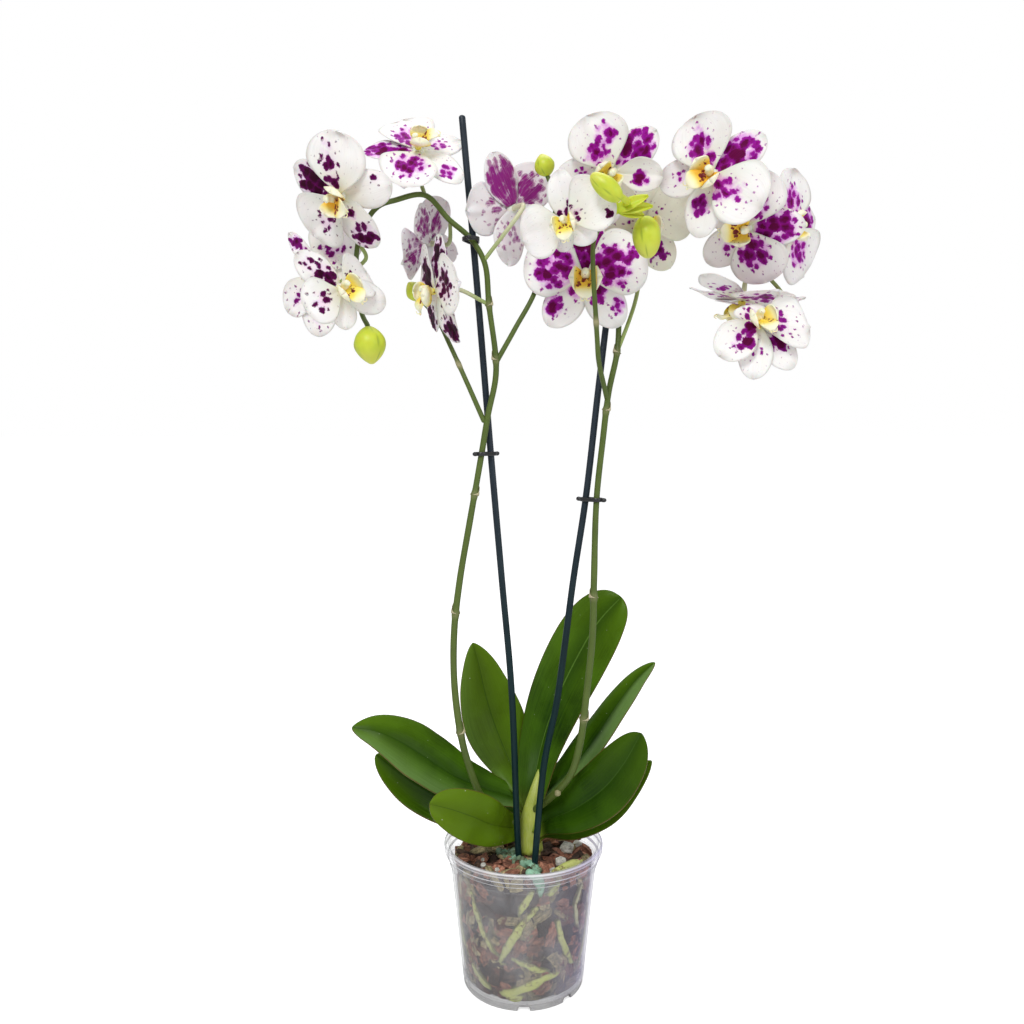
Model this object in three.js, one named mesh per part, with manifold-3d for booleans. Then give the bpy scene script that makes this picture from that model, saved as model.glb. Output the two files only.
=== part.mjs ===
// A moth orchid in bloom in a clear 12 cm nursery pot, with two staked flower spikes.
// Millimetres, +Z up. The plant is laid out round the pot's axis, and the whole is then moved so that
// its origin lies under the middle of its outline.
import * as THREE from "three";
import { mergeVertices } from "three/addons/utils/BufferGeometryUtils.js";
import Module from "manifold-3d";

const wasm = await Module();
wasm.setup();

// Driving dimensions of the pot
const POT_HEIGHT = 109;
const RIM_RADIUS = 60;
const SHOULDER_RADIUS = 55.5;
const FOOT_RADIUS = 45.5;
const WALL = 1.3;
const LIP_HEIGHT = 7;
const FLOOR_Z = 5;
const POT_SIDES = 30;

// Driving dimensions of the bark mix, the stakes and the fit between pieces
const BARK_TOP = 98;
const CHIP_COUNT = 19;
const GAP = 0.35;
const STAKE_RADIUS = 2.4;
const SPIKE_RADIUS = 2.4;
const BRANCH_RADIUS = 1.8;
const STALK_RADIUS = 1.5;
const CROWN_RADIUS = 10;
const CROWN_AT = new THREE.Vector2(5, 0);

// Driving dimensions of a bloom of size 1
const PETAL_LENGTH = 42;
const PETAL_WIDTH = 44;
const SEPAL_LENGTH = 41;
const SEPAL_WIDTH = 25;
const PETAL_ANGLE = 18;
const LATERAL_ANGLE = -53;
const TEPAL_THICKNESS = 1;
const HUB_RADIUS = 4.6;
const CLAW_START = 2.6;
const HUB_BACK = 4;
const HUB_FRONT = 1.2;

const COLOURS = {
  pot: 0xc9cbd2,
  bark: 0x5a3524,
  root: 0xa9b96a,
  crown: 0x9bab3c,
  leaf: 0x3a6420,
  spike: 0x66763c,
  stake: 0x2b3238,
  clip: 0x141516,
  tepal: 0xece6ea,
  lip: 0xe9c65a,
  bud: 0xb2cc2c,
};

// A repeatable stream of numbers from 0 to 1.
function seeded(seed) {
  let state = seed;
  return () => {
    state = (state * 1664525 + 1013904223) % 4294967296;
    return state / 4294967296;
  };
}

const at = (x, y, z) => new THREE.Vector3(x, y, z);
const points = (list) => list.map(([x, y, z]) => at(x, y, z));

// A closed solid from plain positions and triangles, turned outwards if it came inside out.
function solid(position, index) {
  const make = (triangles) =>
    new wasm.Manifold(
      new wasm.Mesh({
        numProp: 3,
        vertProperties: new Float32Array(position),
        triVerts: new Uint32Array(triangles),
      }),
    );
  const made = make(index);
  if (made.volume() > 0) return made;
  const turned = [];
  for (let i = 0; i < index.length; i += 3) turned.push(index[i], index[i + 2], index[i + 1]);
  return make(turned);
}

// A closed solid from a closed geometry.
function solidOf(geometry) {
  const bare = geometry.index ? geometry.toNonIndexed() : geometry.clone();
  bare.deleteAttribute("normal");
  bare.deleteAttribute("uv");
  const merged = mergeVertices(bare, 1e-3);
  return solid(Array.from(merged.attributes.position.array), Array.from(merged.index.array));
}

function geometryOf(made) {
  const mesh = made.getMesh();
  const geometry = new THREE.BufferGeometry();
  geometry.setAttribute("position", new THREE.BufferAttribute(mesh.vertProperties, 3));
  geometry.setIndex(new THREE.BufferAttribute(mesh.triVerts, 1));
  geometry.computeVertexNormals();
  return geometry;
}

const joined = (solids) => solids.reduce((sum, next) => sum.add(next));

function named(name, made, colour, roughness = 0.6) {
  const material = new THREE.MeshStandardMaterial({ color: colour, roughness, metalness: 0 });
  const mesh = new THREE.Mesh(geometryOf(made), material);
  mesh.name = name;
  return mesh;
}

// A closed blade over a grid. place(s, v) gives the point at s from 0 to 1 along it and v from -1 to 1
// across it, and push(s) the vector from its middle to its upper face. Both faces split alike.
function blade(rows, columns, place, push) {
  const upper = [];
  const lower = [];
  for (let i = 0; i <= rows; i++) {
    const offset = push(i / rows);
    for (let j = 0; j <= columns; j++) {
      const middle = place(i / rows, (2 * j) / columns - 1);
      upper.push(...middle.clone().add(offset).toArray());
      lower.push(...middle.clone().sub(offset).toArray());
    }
  }
  const n = columns + 1;
  const under = (rows + 1) * n;
  const index = [];
  const wall = (p, q) => index.push(q, p, p + under, q, p + under, q + under);
  for (let i = 0; i < rows; i++)
    for (let j = 0; j < columns; j++) {
      const a = i * n + j;
      const [b, c, d] = [a + n, a + n + 1, a + 1];
      index.push(a, b, c, a, c, d);
      index.push(a + under, c + under, b + under, a + under, d + under, c + under);
      if (j === 0) wall(a, b);
      if (j === columns - 1) wall(c, d);
      if (i === 0) wall(d, a);
      if (i === rows - 1) wall(b, c);
    }
  return solid([...upper, ...lower], index);
}

// A round stem along a smooth curve, with closed ends. It has a ring at each point of its route and
// perSpan rings to a span. radius(s) gives its radius from 0 to 1.
function stem(route, radius, perSpan, sides) {
  const curve = new THREE.CatmullRomCurve3(route, false, "centripetal");
  const steps = perSpan * (route.length - 1);
  const position = [];
  const index = [];
  let normal = at(0.31, 0.95, 0.07);
  for (let i = 0; i <= steps; i++) {
    const centre = curve.getPoint(i / steps);
    const along = curve.getTangent(i / steps);
    const binormal = along.clone().cross(normal).normalize();
    normal = binormal.clone().cross(along);
    for (let k = 0; k < sides; k++) {
      const angle = (2 * Math.PI * k) / sides;
      const vertex = centre
        .clone()
        .addScaledVector(normal, Math.cos(angle) * radius(i / steps))
        .addScaledVector(binormal, Math.sin(angle) * radius(i / steps));
      position.push(...vertex.toArray());
    }
  }
  for (let i = 0; i < steps; i++)
    for (let k = 0; k < sides; k++) {
      const a = i * sides + k;
      const b = i * sides + ((k + 1) % sides);
      index.push(a, b, b + sides, a, b + sides, a + sides);
    }
  const last = steps * sides;
  for (let k = 1; k < sides - 1; k++) {
    index.push(0, k + 1, k);
    index.push(last, last + k, last + k + 1);
  }
  return solid(position, index);
}

// Pot: one lathed moulding with a rolled lip, two steps below it, a raised floor and a notched foot
function makePot() {
  const profile = [
    [0, FLOOR_Z],
    [FOOT_RADIUS - 4, FLOOR_Z],
    [FOOT_RADIUS - 3, 0],
    [FOOT_RADIUS, 0],
    [FOOT_RADIUS + 0.8, 6],
    [SHOULDER_RADIUS - 0.6, POT_HEIGHT - LIP_HEIGHT - 9],
    [SHOULDER_RADIUS + 0.7, POT_HEIGHT - LIP_HEIGHT - 8],
    [SHOULDER_RADIUS + 0.9, POT_HEIGHT - LIP_HEIGHT - 4],
    [SHOULDER_RADIUS + 2.2, POT_HEIGHT - LIP_HEIGHT - 3],
    [RIM_RADIUS - 0.8, POT_HEIGHT - LIP_HEIGHT + 0.6],
    [RIM_RADIUS, POT_HEIGHT - 2],
    [RIM_RADIUS - 1, POT_HEIGHT],
    [SHOULDER_RADIUS + 1, POT_HEIGHT],
    [SHOULDER_RADIUS - WALL - 0.8, POT_HEIGHT - LIP_HEIGHT - 8],
    [FOOT_RADIUS + 0.8 - WALL, 8],
    [FOOT_RADIUS - 1 - WALL, FLOOR_Z + WALL],
    [0, FLOOR_Z + WALL],
  ].map(([r, z]) => new THREE.Vector2(r, z));
  const lathe = new THREE.LatheGeometry(profile, POT_SIDES).rotateX(Math.PI / 2);
  let pot = solidOf(lathe);
  const NOTCHES = 4;
  for (let k = 0; k < NOTCHES; k++) {
    const angle = -Math.PI / 2 + (2 * Math.PI * k) / NOTCHES;
    const notch = new THREE.BoxGeometry(9, 11, 5).rotateZ(angle);
    notch.translate(Math.cos(angle) * FOOT_RADIUS, Math.sin(angle) * FOOT_RADIUS, 0);
    pot = pot.subtract(solidOf(notch));
  }
  return named("pot", pot, COLOURS.pot, 0.25);
}

// The inside radius of the pot at a height.
function insideRadius(z) {
  const share = (z - 8) / (POT_HEIGHT - LIP_HEIGHT - 16);
  return FOOT_RADIUS + 0.8 - WALL + share * (SHOULDER_RADIUS - 1.6 - FOOT_RADIUS);
}

// Stakes: each stands in the bark mix and leans outwards, with a rounded top
const STAKES = {
  left: points([
    [2, -17, 20],
    [-4, -16, 109],
    [-9, -12, 229],
    [-16, -8, 309],
    [-24, -4, 401],
    [-35, -1, 537],
    [-44, 2, 639],
  ]),
  right: points([
    [3, -31, 20],
    [8, -30, 105],
    [15, -26, 179],
    [24, -21, 222],
    [36, -12, 310],
    [48, -5, 368],
    [55, 1, 446],
    [60, 8, 494],
  ]),
};

const stakeRadius = (s) => (s > 0.999 ? STAKE_RADIUS * 0.7 : STAKE_RADIUS);

function makeStake(side) {
  return named("stake_" + side, stem(STAKES[side], stakeRadius, 1, 8), COLOURS.stake, 0.45);
}

// Clips: a figure eight that holds a stake and a spike side by side, with a bead at each end
const CLIPS = [
  { name: "clip_left_lower", stake: "left", spike: "left", z: 401, slack: 1 },
  { name: "clip_left_upper", stake: "left", spike: "left", z: 549, slack: 2.6 },
  { name: "clip_right", stake: "right", spike: "right", z: 368, slack: 1 },
];
const CLIP_HEIGHT = 3;
const CLIP_WALL = 1.5;
const BEAD_RADIUS = 2.2;

function pointAtHeight(route, z) {
  const curve = new THREE.CatmullRomCurve3(route, false, "centripetal");
  const STEPS = 2000;
  for (let i = 1; i <= STEPS; i++) {
    const point = curve.getPoint(i / STEPS);
    if (point.z >= z) return point;
  }
  throw new Error("nothing at that height");
}

function makeClip({ name, stake, spike, z, slack }) {
  const a = pointAtHeight(STAKES[stake], z);
  const b = pointAtHeight(SPIKES[spike].main, z);
  const apart = Math.hypot(b.x - a.x, b.y - a.y);
  const stakeHole = STAKE_RADIUS + 0.9;
  const spikeHole = SPIKE_RADIUS + slack;
  const eight = new THREE.Shape();
  eight.absarc(0, 0, stakeHole + CLIP_WALL, Math.PI / 2, (3 * Math.PI) / 2, false);
  eight.absarc(apart, 0, spikeHole + CLIP_WALL, -Math.PI / 2, Math.PI / 2, false);
  eight.closePath();
  const flat = { depth: CLIP_HEIGHT, bevelEnabled: false, curveSegments: 4 };
  const band = solidOf(new THREE.ExtrudeGeometry(eight, flat).translate(0, 0, -CLIP_HEIGHT / 2));
  const bore = (x, radius) =>
    solidOf(new THREE.CylinderGeometry(radius, radius, 9, 8).rotateX(Math.PI / 2).translate(x, 0, 0));
  const bead = (x) => solidOf(new THREE.SphereGeometry(BEAD_RADIUS, 6, 4).translate(x, 0, 0));
  const ends = [bead(-stakeHole - BEAD_RADIUS), bead(apart + spikeHole + BEAD_RADIUS)];
  const body = joined([band, ...ends]).subtract(bore(0, stakeHole)).subtract(bore(apart, spikeHole));
  const mesh = named(name, body, COLOURS.clip, 0.35);
  mesh.position.set(a.x, a.y, z);
  mesh.rotation.z = Math.atan2(b.y - a.y, b.x - a.x);
  return mesh;
}

// Spikes: each main stem with its side branches, by points chosen along the plant
const SPIKES = {
  left: {
    main: points([
      [-0.6, -5.4, 135],
      [-10, -11, 142],
      [-22, -18.5, 154],
      [-33, -21, 167],
      [-42, -28, 184],
      [-46, -30, 204],
      [-50, -28, 238],
      [-50, -25, 275],
      [-46, -22, 311],
      [-39, -17, 352],
      [-31, -10.5, 398],
      [-26, -9, 428],
      [-20, -8, 460],
      [-25, -9, 507],
      [-28, -10, 536],
      [-38, -9, 553],
      [-53, -9, 566],
      [-70, -8, 583],
      [-91, -10, 579],
      [-102, -11, 575],
      [-111, -10, 565],
      [-117, -11, 550],
      [-118, -15, 533],
      [-116, -23, 515],
      [-112, -31, 498],
      [-107.1, -38.5, 489.4],
    ]),
    branches: [
      [
        [-29, -9, 425],
        [-41, -5, 452],
        [-53, 4, 478],
        [-65, 22, 501],
        [-75.9, 26, 514.2],
      ],
      [
        [-19, -8, 468],
        [-6, -7, 491],
        [8, -5, 517],
        [15, -5, 546],
        [20, -8, 562],
        [22, -12, 577],
        [19, -13, 588],
        [16.3, -12, 594.7],
      ],
    ],
  },
  right: {
    main: points([
      [8.5, -6.6, 135],
      [14, -14, 142],
      [25, -25, 157],
      [34, -32, 172],
      [40, -35, 196],
      [45, -33, 235],
      [49, -27, 273],
      [51, -20, 311],
      [53.5, -11.5, 368],
      [57, -7, 411],
      [61, -6, 445],
      [67, -4, 474],
      [69, 4, 498],
      [71, 16, 522],
      [77, 32, 552],
      [92, 40, 577],
      [116, 26, 589],
      [137, 16, 587],
      [156, 16, 576],
      [172, 22, 558],
      [176, 24, 540],
      [173, 22, 530],
    ]),
    branches: [
      [
        [60, -6, 440],
        [52, -25, 466],
        [50, -34, 480],
        [48, -42, 498],
        [46, -46, 521],
        [46, -48, 544],
        [50, -50, 554],
      ],
    ],
  },
};

// Blooms: where each one's middle is, where it faces, and where its stalk leaves the spike.
// turn is azimuth (0 faces -Y, + turns towards +X), elevation (+ faces up) and roll, in degrees.
const BLOOMS = [
  { name: "l1", at: [-126, -35, 576], turn: [-28, -28, 55], size: 1, from: [-101, -11, 576] },
  { name: "l2", at: [-74, -12, 613], turn: [8, 42, 88], size: 0.93, from: [-70, -8, 583] },
  { name: "l3", at: [-122, -52, 512], turn: [40, 5, 42], size: 0.9, from: [-118, -16, 531] },
  { name: "l4", at: [-62, -18, 515], turn: [-70, -8, -18], size: 0.95, from: [-27, -9, 508] },
  { name: "l5", at: [-71, 26, 556], turn: [-118, 8, -48], size: 0.85, from: [-52, -9, 565] },
  {
    name: "l6",
    at: [-148, 8, 531],
    turn: [-15, 5, 40],
    size: 0.95,
    from: [-117, -11, 550],
    via: [[-114, 4, 541]],
  },
  { name: "c0", at: [-9, 8, 577], turn: [-150, 4, -30], size: 1, from: [-28, -10, 538] },
  {
    name: "c1",
    at: [59, -30, 593],
    turn: [-12, -24, -50],
    size: 0.95,
    from: [79, 34, 556],
    via: [[68, 9, 591]],
  },
  {
    name: "c2",
    at: [27, -66, 553],
    turn: [-22, -12, 10],
    size: 0.8,
    from: [21, -10, 568],
    via: [[24, -32, 566]],
  },
  { name: "c3", at: [43, -15, 526], turn: [-4, -8, 0], size: 1.06, from: [70, 10, 510] },
  {
    name: "c4",
    at: [86, 8, 566],
    turn: [16, -12, 4],
    size: 1,
    from: [67, -4, 474],
    via: [
      [77, 4, 499],
      [83, 14, 517],
      [87, 27, 540],
    ],
  },
  {
    name: "r1",
    at: [125, -40, 589],
    turn: [-32, 0, -55],
    size: 1,
    from: [137, 16, 587],
    via: [[134, 0, 599]],
  },
  { name: "r2", at: [155, -14, 559], turn: [-32, -20, -94], size: 0.98, from: [150, 16, 580] },
  { name: "r3", at: [195, 18, 566], turn: [38, -2, -70], size: 1, from: [171, 22, 560] },
  {
    name: "r5",
    at: [160, -32, 492],
    turn: [10, 25, 15],
    size: 0.97,
    dorsal: 0.42,
    petalAngle: -15,
    lateralAngle: -66,
    from: [175, 24, 536],
    via: [
      [186, 27, 528],
      [195, 28, 517],
      [196, 25, 506],
      [186, 8, 494],
      [170, -8, 487],
    ],
  },
  { name: "r6", at: [160, 12, 513], turn: [-90, -80, 180], size: 1.1, from: [175, 24, 538] },
];

// The turn from a bloom's own frame (x to its right, y up, z out of its face) to the plant's.
function bloomMatrix([azimuth, elevation, roll]) {
  const [a, e, r] = [azimuth, elevation, roll].map(THREE.MathUtils.degToRad);
  const out = at(Math.sin(a) * Math.cos(e), -Math.cos(a) * Math.cos(e), Math.sin(e));
  const level = at(Math.cos(a), Math.sin(a), 0);
  const rise = out.clone().cross(level);
  const right = level.clone().multiplyScalar(Math.cos(r)).addScaledVector(rise, Math.sin(r));
  const up = rise.multiplyScalar(Math.cos(r)).addScaledVector(level, -Math.sin(r));
  return new THREE.Matrix4().makeBasis(right, up, out);
}

// One tepal: a cupped blade that leaves the hub at an angle, narrow at its claw and round at its tip.
function tepal({ angle, length, width, claw, lift, cup, reflex, wave, columns, rows }) {
  const along = at(Math.cos(angle), Math.sin(angle), 0);
  const across = at(-Math.sin(angle), Math.cos(angle), 0);
  const place = (s, v) => {
    const full = Math.pow(Math.sin(Math.PI * (0.02 + 0.87 * Math.pow(s, 1.02))), 0.8);
    const half = (width / 2) * (claw + (1 - claw) * full);
    const reach = CLAW_START + (length - CLAW_START) * (s - 0.13 * v * v * s * s);
    const fold = cup * v * v * Math.sin(Math.PI * Math.min(1, s * 1.1));
    const z = lift + fold - reflex * s * s + wave * Math.sin(3 * s + 4 * v) * s;
    return along.clone().multiplyScalar(reach).addScaledVector(across, half * v).setZ(z);
  };
  const push = () => at(0, 0, TEPAL_THICKNESS / 2);
  return blade(rows, columns, place, push);
}

const PETAL = { length: PETAL_LENGTH, width: PETAL_WIDTH, claw: 0.06, columns: 2, rows: 4 };
const SEPAL = { length: SEPAL_LENGTH, width: SEPAL_WIDTH, claw: 0.14, columns: 2, rows: 3 };

function makeTepals(name, seed, pose) {
  const { dorsal = 1, petalAngle = PETAL_ANGLE, lateralAngle = LATERAL_ANGLE } = pose;
  const draw = seeded(seed);
  const radians = THREE.MathUtils.degToRad;
  const petals = [petalAngle, 180 - petalAngle].map((degrees) =>
    tepal({
      ...PETAL,
      angle: radians(degrees + 5 * (draw() - 0.5)),
      lift: 0,
      cup: 1 + 1.5 * draw(),
      reflex: 1 + 4 * draw(),
      wave: 1.2 * (draw() - 0.3),
    }),
  );
  const sepals = [90, lateralAngle, 180 - lateralAngle].map((degrees) =>
    tepal({
      ...SEPAL,
      length: SEPAL_LENGTH * (degrees === 90 ? dorsal : 1),
      angle: radians(degrees + 5 * (draw() - 0.5)),
      lift: -2.6,
      cup: 0.5 + draw(),
      reflex: 1 + 5 * draw(),
      wave: 0.5 * draw(),
    }),
  );
  const profile = [
    [0, -HUB_BACK],
    [HUB_RADIUS * 0.7, -HUB_BACK],
    [HUB_RADIUS, HUB_FRONT],
    [0, HUB_FRONT],
  ].map(([r, z]) => new THREE.Vector2(r, z));
  const hub = solidOf(new THREE.LatheGeometry(profile, 5).rotateX(Math.PI / 2));
  return named(name, joined([hub, ...petals, ...sepals]), COLOURS.tepal, 0.5);
}

// Lip and column: a mid lobe that reaches forward and down, two side lobes that stand up round the
// column, and the column with its rounded cap
function makeLip(name) {
  const base = HUB_FRONT + GAP;
  const column = stem(
    points([
      [0, 0, base + 0.3],
      [0, 0.3, base + 3],
      [0, 2, base + 6.5],
      [0, 1, base + 10],
    ]),
    (s) => 3.3 - 1.1 * s,
    1,
    5,
  );
  const midLobe = blade(
    3,
    2,
    (s, v) => {
      const half = 2 + 5 * Math.sin(Math.PI * Math.min(1, 0.1 + 0.95 * s)) * s;
      return at(half * v, 0.5 - 17 * s, base + 2.2 + 10 * Math.sin(1.9 * s) + 1.5 * v * v);
    },
    () => at(0, -0.4, 0.5),
  );
  const sideLobe = (side) =>
    blade(
      2,
      1,
      (s, v) => {
        const half = 1.6 + 4 * Math.sin(Math.PI * Math.min(1, 0.15 + 0.75 * s));
        const x = side * (0.8 + 10 * Math.sin(1.4 * s));
        return at(x, -1.5 + 2 * s + half * v * 0.75, base + 3 + 8 * s + half * v * 0.5);
      },
      () => at(side * 0.4, 0, -0.45),
    );
  return named(name, joined([column, midLobe, sideLobe(1), sideLobe(-1)]), COLOURS.lip, 0.45);
}

// One bloom is a group turned to its facing, so that both of its nodes are made in its own frame.
function makeBloom(bloom, order) {
  const group = new THREE.Group();
  group.position.set(...bloom.at);
  group.quaternion.setFromRotationMatrix(bloomMatrix(bloom.turn));
  group.scale.setScalar(bloom.size);
  group.add(makeTepals("bloom_" + bloom.name + "_tepals", 100 + order, bloom));
  group.add(makeLip("bloom_" + bloom.name + "_lip"));
  return group;
}

// The stalk of a bloom runs from its place on the spike to just behind the bloom's hub.
function bloomStalk(bloom) {
  const middle = at(...bloom.at);
  const out = at(0, 0, 1).applyMatrix4(bloomMatrix(bloom.turn));
  const seat = middle.clone().addScaledVector(out, -(HUB_BACK * bloom.size + GAP));
  const approach = middle.clone().addScaledVector(out, -(HUB_BACK + 13));
  const via = bloom.via ? points(bloom.via) : [];
  return stem([at(...bloom.from), ...via, approach, seat], (s) => STALK_RADIUS + 0.5 * s * s, 1, 5);
}

const ON_LEFT_SPIKE = new Set(["l1", "l2", "l3", "l4", "l5", "l6", "c0", "c2"]);

function makeSpike(side) {
  const { main, branches } = SPIKES[side];
  const taper = (s) => SPIKE_RADIUS * (1.12 - 0.42 * s);
  const parts = [stem(main, taper, 1, 6)];
  for (const route of branches) parts.push(stem(points(route), () => BRANCH_RADIUS, 1, 5));
  for (const bloom of BLOOMS)
    if (ON_LEFT_SPIKE.has(bloom.name) === (side === "left")) parts.push(bloomStalk(bloom));
  return named("spike_" + side, joined(parts), COLOURS.spike, 0.5);
}

// Buds: plump green ovals, with a short stalk of their own colour on the spray of two
const BUDS = [
  { name: "bud_left_tip", at: [-105.5, -39, 475.5], radius: 11, length: 27, lean: [0.1, 0, -1] },
  { name: "bud_left_branch", at: [-81, 26, 521], radius: 7, length: 16, lean: [-0.6, 0, 0.8] },
  { name: "bud_centre_branch", at: [14, -12, 602.5], radius: 7.2, length: 15.5, lean: [-0.3, 0, 1] },
];
const BUD_SPRAY = {
  stalk: [
    [50.5, -50.4, 555],
    [58, -55, 561],
    [64, -62, 564],
  ],
  buds: [
    { at: [50, -88, 571], radius: 7.5, length: 26, lean: [-0.75, 0, 0.62] },
    { at: [81, -50, 546], radius: 9.5, length: 27, lean: [0.1, 0, -1] },
  ],
};

function budSolid({ at: middle, radius, length, lean }) {
  const outline = [];
  const STATIONS = 5;
  for (let i = 0; i <= STATIONS; i++) {
    const s = i / STATIONS;
    const r = i === 0 || i === STATIONS ? 0 : radius * Math.pow(Math.sin(Math.PI * Math.pow(s, 0.9)), 0.8);
    outline.push(new THREE.Vector2(r, length * (s - 0.5)));
  }
  const oval = new THREE.LatheGeometry(outline, 8);
  const turn = new THREE.Quaternion().setFromUnitVectors(at(0, 1, 0), at(...lean).normalize());
  oval.applyQuaternion(turn).translate(...middle);
  return solidOf(oval);
}

function makeBuds(group) {
  for (const bud of BUDS) group.add(named(bud.name, budSolid(bud), COLOURS.bud, 0.4));
  const [upper, lower] = BUD_SPRAY.buds;
  const stalkTop = BUD_SPRAY.stalk.at(-1);
  const fork = BUD_SPRAY.stalk[1];
  const spray = joined([
    stem(points(BUD_SPRAY.stalk), () => BRANCH_RADIUS, 1, 5),
    stem(points([stalkTop, [65, -74, 564], [60, -85, 564], [55, -88, 567]]), () => 2.2, 1, 5),
    stem(points([fork, [66, -54, 563], [77, -51, 559], lower.at]), () => BRANCH_RADIUS, 1, 5),
    budSolid(upper),
    budSolid(lower),
  ]);
  group.add(named("bud_spray", spray, COLOURS.bud, 0.4));
}

// Leaves: each a thick blade along a spine from the crown, with the direction its upper face looks
const LEAVES = [
  {
    name: "leaf_left_long",
    width: 52,
    face: [0.1, -0.62, 0.78],
    spine: [
      [0, 0.8, 146.5],
      [-29, -3.5, 157],
      [-50, -11, 166],
      [-72, -15, 180],
      [-92, -18, 193],
      [-108, -20, 201],
      [-124, -20, 204],
    ],
  },
  {
    name: "leaf_left_under",
    width: 50,
    face: [0.1, -0.5, 0.86],
    spine: [
      [-3.9, 3.8, 117.5],
      [-30, 7, 124],
      [-54, 9, 131],
      [-78, 12, 143],
      [-97, 14, 156],
      [-112, 15, 169],
    ],
  },
  {
    name: "leaf_front_short",
    width: 38,
    neck: 0.18,
    face: [-0.25, -0.75, 0.6],
    spine: [
      [-3.1, -3, 126],
      [-12, -9.5, 124.5],
      [-23, -27, 132.5],
      [-36, -45, 141],
      [-51, -57, 150],
      [-64, -64, 157],
    ],
  },
  {
    name: "leaf_upright_left",
    width: 46,
    face: [0.35, -0.9, -0.1],
    spine: [
      [1, 5, 141],
      [-11, 22, 163],
      [-21, 29, 188],
      [-28, 30, 214],
      [-32, 29, 237],
      [-36, 26, 258],
    ],
  },
  {
    name: "leaf_upright_tall",
    width: 52,
    face: [-0.5, -0.86, 0.2],
    spine: [
      [7.7, 4.5, 147.5],
      [15, 18, 178],
      [26, 21, 210],
      [42, 25, 243],
      [58, 27, 271],
      [75, 25, 295],
    ],
  },
  {
    name: "leaf_right_narrow",
    width: 44,
    face: [-0.62, -0.45, 0.65],
    spine: [
      [11.1, 2.1, 137],
      [39, 7, 163],
      [57, 9, 187],
      [72, 10, 210],
      [86, 10, 229],
      [98, 8, 243],
    ],
  },
  {
    name: "leaf_right_front",
    width: 50,
    face: [-0.2, -0.83, 0.52],
    spine: [
      [14.4, -5.4, 122.3],
      [38, -22, 142],
      [58, -33, 163],
      [75, -41, 188],
      [87, -45, 208],
    ],
  },
  {
    name: "leaf_right_under",
    width: 50,
    face: [-0.15, -0.6, 0.8],
    spine: [
      [14.8, 0.6, 115.5],
      [40, -1, 118],
      [62, -4, 128],
      [83, -7, 148],
      [98, -9, 171],
    ],
  },
];
const LEAF_HALF_THICKNESS = 0.8;
const LEAF_FOLD = 0.16;
const LEAF_NECK = 0.08;

function makeLeaf({ name, width, neck = LEAF_NECK, face, spine }) {
  const curve = new THREE.CatmullRomCurve3(points(spine), false, "centripetal");
  const upper = at(...face).normalize();
  const sideAt = (s) => upper.clone().cross(curve.getTangentAt(s)).normalize();
  const normalAt = (s) => curve.getTangentAt(s).cross(sideAt(s)).normalize();
  const place = (s, v) => {
    const past = Math.max(0, s - neck) / (1 - neck);
    const half = (width / 2) * Math.pow(Math.sin(Math.PI * (0.04 + 0.89 * Math.pow(past, 1.05))), 0.75);
    const centre = curve.getPointAt(s * (1 - 0.07 * v * v * s));
    const rise = LEAF_FOLD * half * Math.abs(v) * (1 - 0.5 * s);
    return centre.addScaledVector(sideAt(s), half * v).addScaledVector(normalAt(s), rise);
  };
  const push = (s) => normalAt(s).multiplyScalar(LEAF_HALF_THICKNESS);
  return named(name, blade(7, 4, place, push), COLOURS.leaf, 0.35);
}

// Crown: the short green stem that the leaves grow from, standing in the bark mix
const CROWN_TOP = 150;
const CROWN_FOOT = 70;

function crownSolid(extra) {
  const outline = [
    [0, CROWN_FOOT - extra],
    [CROWN_RADIUS * 0.75 + extra, CROWN_FOOT - extra],
    [CROWN_RADIUS + extra, BARK_TOP],
    [CROWN_RADIUS * 0.9 + extra, 118],
    [CROWN_RADIUS * 0.62 + extra, 136],
    [CROWN_RADIUS * 0.4 + extra, CROWN_TOP],
    [0, CROWN_TOP],
  ].map(([r, z]) => new THREE.Vector2(r, z));
  const lathe = new THREE.LatheGeometry(outline, 12).rotateX(Math.PI / 2);
  return solidOf(lathe.translate(CROWN_AT.x, CROWN_AT.y, 0));
}

// Roots: each runs down inside the wall, where the clear pot shows it
const ROOT_RADIUS = 2.3;
const ROOTS = [
  { name: "root_front_left", turns: [-138, -112], heights: [84, 40], seed: 1 },
  { name: "root_front", turns: [-72, -104], heights: [90, 44], seed: 2 },
  { name: "root_front_low", turns: [-108, -50], heights: [18, 27], seed: 3 },
  { name: "root_right", turns: [-60, -28], heights: [66, 30], seed: 4 },
];

function rootSolid({ turns, heights, seed }, radius) {
  const draw = seeded(seed);
  const STOPS = 5;
  const route = [];
  for (let i = 0; i <= STOPS; i++) {
    const s = i / STOPS;
    const z = heights[0] + (heights[1] - heights[0]) * s + (i % 2 ? 3 : -3) * draw();
    const turn = THREE.MathUtils.degToRad(turns[0] + (turns[1] - turns[0]) * s);
    const r = insideRadius(z) - GAP - ROOT_RADIUS - 0.4;
    route.push(at(r * Math.cos(turn), r * Math.sin(turn), z));
  }
  return stem(route, () => radius, 1, 5);
}

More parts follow.
